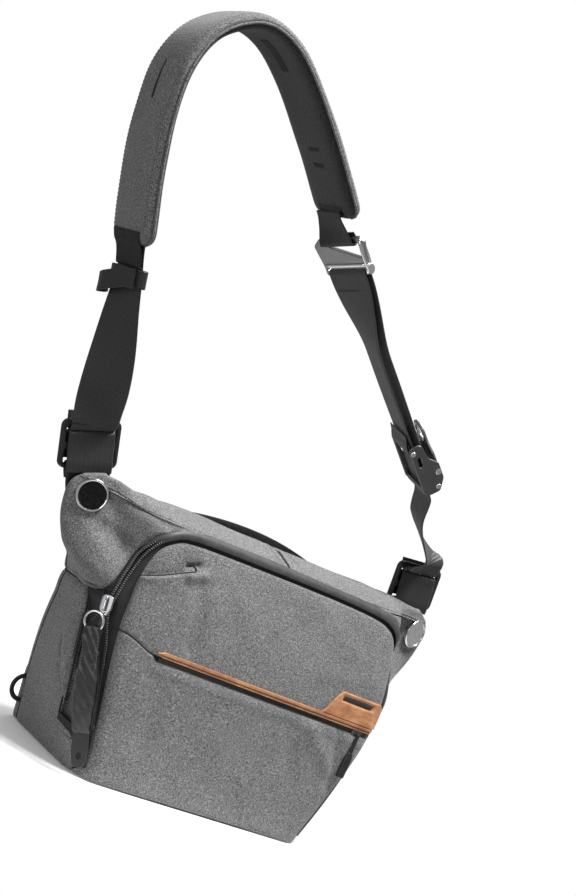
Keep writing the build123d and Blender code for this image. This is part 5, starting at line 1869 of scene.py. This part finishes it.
DARK_FACE = spun_metal("spun_dark_face", 44, DISCS[-1])
PALE_FACE = spun_metal("spun_pale_face", 236, DISCS[1])
make_disc(-1, "left", DARK_FACE)
make_disc(1, "right", PALE_FACE)
make_tab(-1, "left", LEFT_BAR)
make_tab(1, "right", RIGHT_BAR)
make_buckle("left", LEFT_BAR)
make_buckle("right", RIGHT_BAR)
make_left_strap()
make_pad()
make_right_strap()
make_tongue()
make_hook()
make_cam()
make_main_slider()
make_main_pull()
make_pocket_pull()
make_loops()


# ---- stage, light and camera --------------------------------------------------------------
# Camera angles in degrees, distance and aim in metres: the bag hangs at a slant in the view.
AZIMUTH, ELEVATION, ROLL = -34.21, -0.93, 25.58
DISTANCE, AIM, LENS = 1.2641, Vector((-0.0219, 0, 0.2792)), 65.22


def camera_axes():
    a, e, roll = (math.radians(v) for v in (AZIMUTH, ELEVATION, ROLL))
    back = Vector((math.sin(a) * math.cos(e), -math.cos(a) * math.cos(e), math.sin(e)))
    right = (-back).cross(Vector((0, 0, 1))).normalized()
    up = right.cross(-back)
    return (right * math.cos(roll) + up * math.sin(roll),
            up * math.cos(roll) - right * math.sin(roll), back)


def make_camera():
    right, up, back = camera_axes()
    data = bpy.data.cameras.new("view_camera")
    data.lens, data.sensor_width, data.sensor_fit = LENS, 36, "AUTO"
    data.clip_start, data.clip_end = 0.05, 50
    camera = bpy.data.objects.new("view_camera", data)
    turn = Matrix((right, up, back)).transposed().to_4x4()
    camera.matrix_world = Matrix.Translation(AIM + back * DISTANCE) @ turn
    scene.collection.objects.link(camera)
    scene.camera = camera


def area_light(name, offset, size, power):
    """Soft box, placed by steps right, up and towards the camera, aimed at the bag."""
    right, up, back = camera_axes()
    data = bpy.data.lights.new(name, "AREA")
    data.energy, data.size, data.shape = power, size, "SQUARE"
    light = bpy.data.objects.new(name, data)
    scene.collection.objects.link(light)
    light.location = AIM + right * offset[0] + up * offset[1] + back * offset[2]
    light.rotation_mode = "QUATERNION"
    light.rotation_quaternion = (AIM - light.location).to_track_quat("-Z", "Y")


def make_floor():
    """Pale floor that fades into the white surround."""
    turn = circle(96)
    radii = np.linspace(6000, 20, 60)
    p = np.array([[[r * math.cos(t), r * math.sin(t), -0.3] for t in turn] for r in radii])
    faces = grid_faces(60, 96, wrap=True) + [tuple(59 * 96 + j for j in range(96))]
    floor = mesh_object("floor", p.reshape(-1, 3), faces)
    f = Finish("pale_floor", rough=0.8)
    here = f.tree.nodes.new("ShaderNodeTexCoord").outputs["Object"]
    far = f.node("ShaderNodeVectorMath")
    far.operation = "LENGTH"
    f.tree.links.new(here, far.inputs[0])
    fade = f.ramp(f.sums("MULTIPLY", far.outputs["Value"], 1 / 0.9), (0.08, 0.0), (0.42, 1.0))
    f.shader.inputs["Base Color"].default_value = (0.93, 0.93, 0.93, 1)
    clear = f.tree.nodes.new("ShaderNodeBsdfTransparent")
    mix = f.tree.nodes.new("ShaderNodeMixShader")
    f.tree.links.new(fade, mix.inputs[0])
    f.tree.links.new(f.shader.outputs[0], mix.inputs[1])
    f.tree.links.new(clear.outputs[0], mix.inputs[2])
    f.tree.links.new(mix.outputs[0], f.tree.nodes["Material Output"].inputs["Surface"])
    floor.data.materials.append(f.mat)


def make_world():
    world = bpy.data.worlds.new("surround")
    world.use_nodes = True
    scene.world = world
    background = world.node_tree.nodes["Background"]
    background.inputs["Color"].default_value = (1, 1, 1, 1)
    rays = world.node_tree.nodes.new("ShaderNodeLightPath")
    strength = world.node_tree.nodes.new("ShaderNodeMapRange")
    strength.inputs["To Min"].default_value, strength.inputs["To Max"].default_value = 0.3, 1.0
    world.node_tree.links.new(rays.outputs["Is Camera Ray"], strength.inputs["Value"])
    world.node_tree.links.new(strength.outputs["Result"], background.inputs["Strength"])
    scene.view_settings.view_transform = "Standard"


make_camera()
make_world()
make_floor()
area_light("key_light", (1.45, 1.7, 0.34), 0.6, 108)
area_light("fill_light", (-0.7, 0.6, 1.8), 1.2, 9)
area_light("rim_light", (0.9, 1.6, -1.0), 0.9, 14)
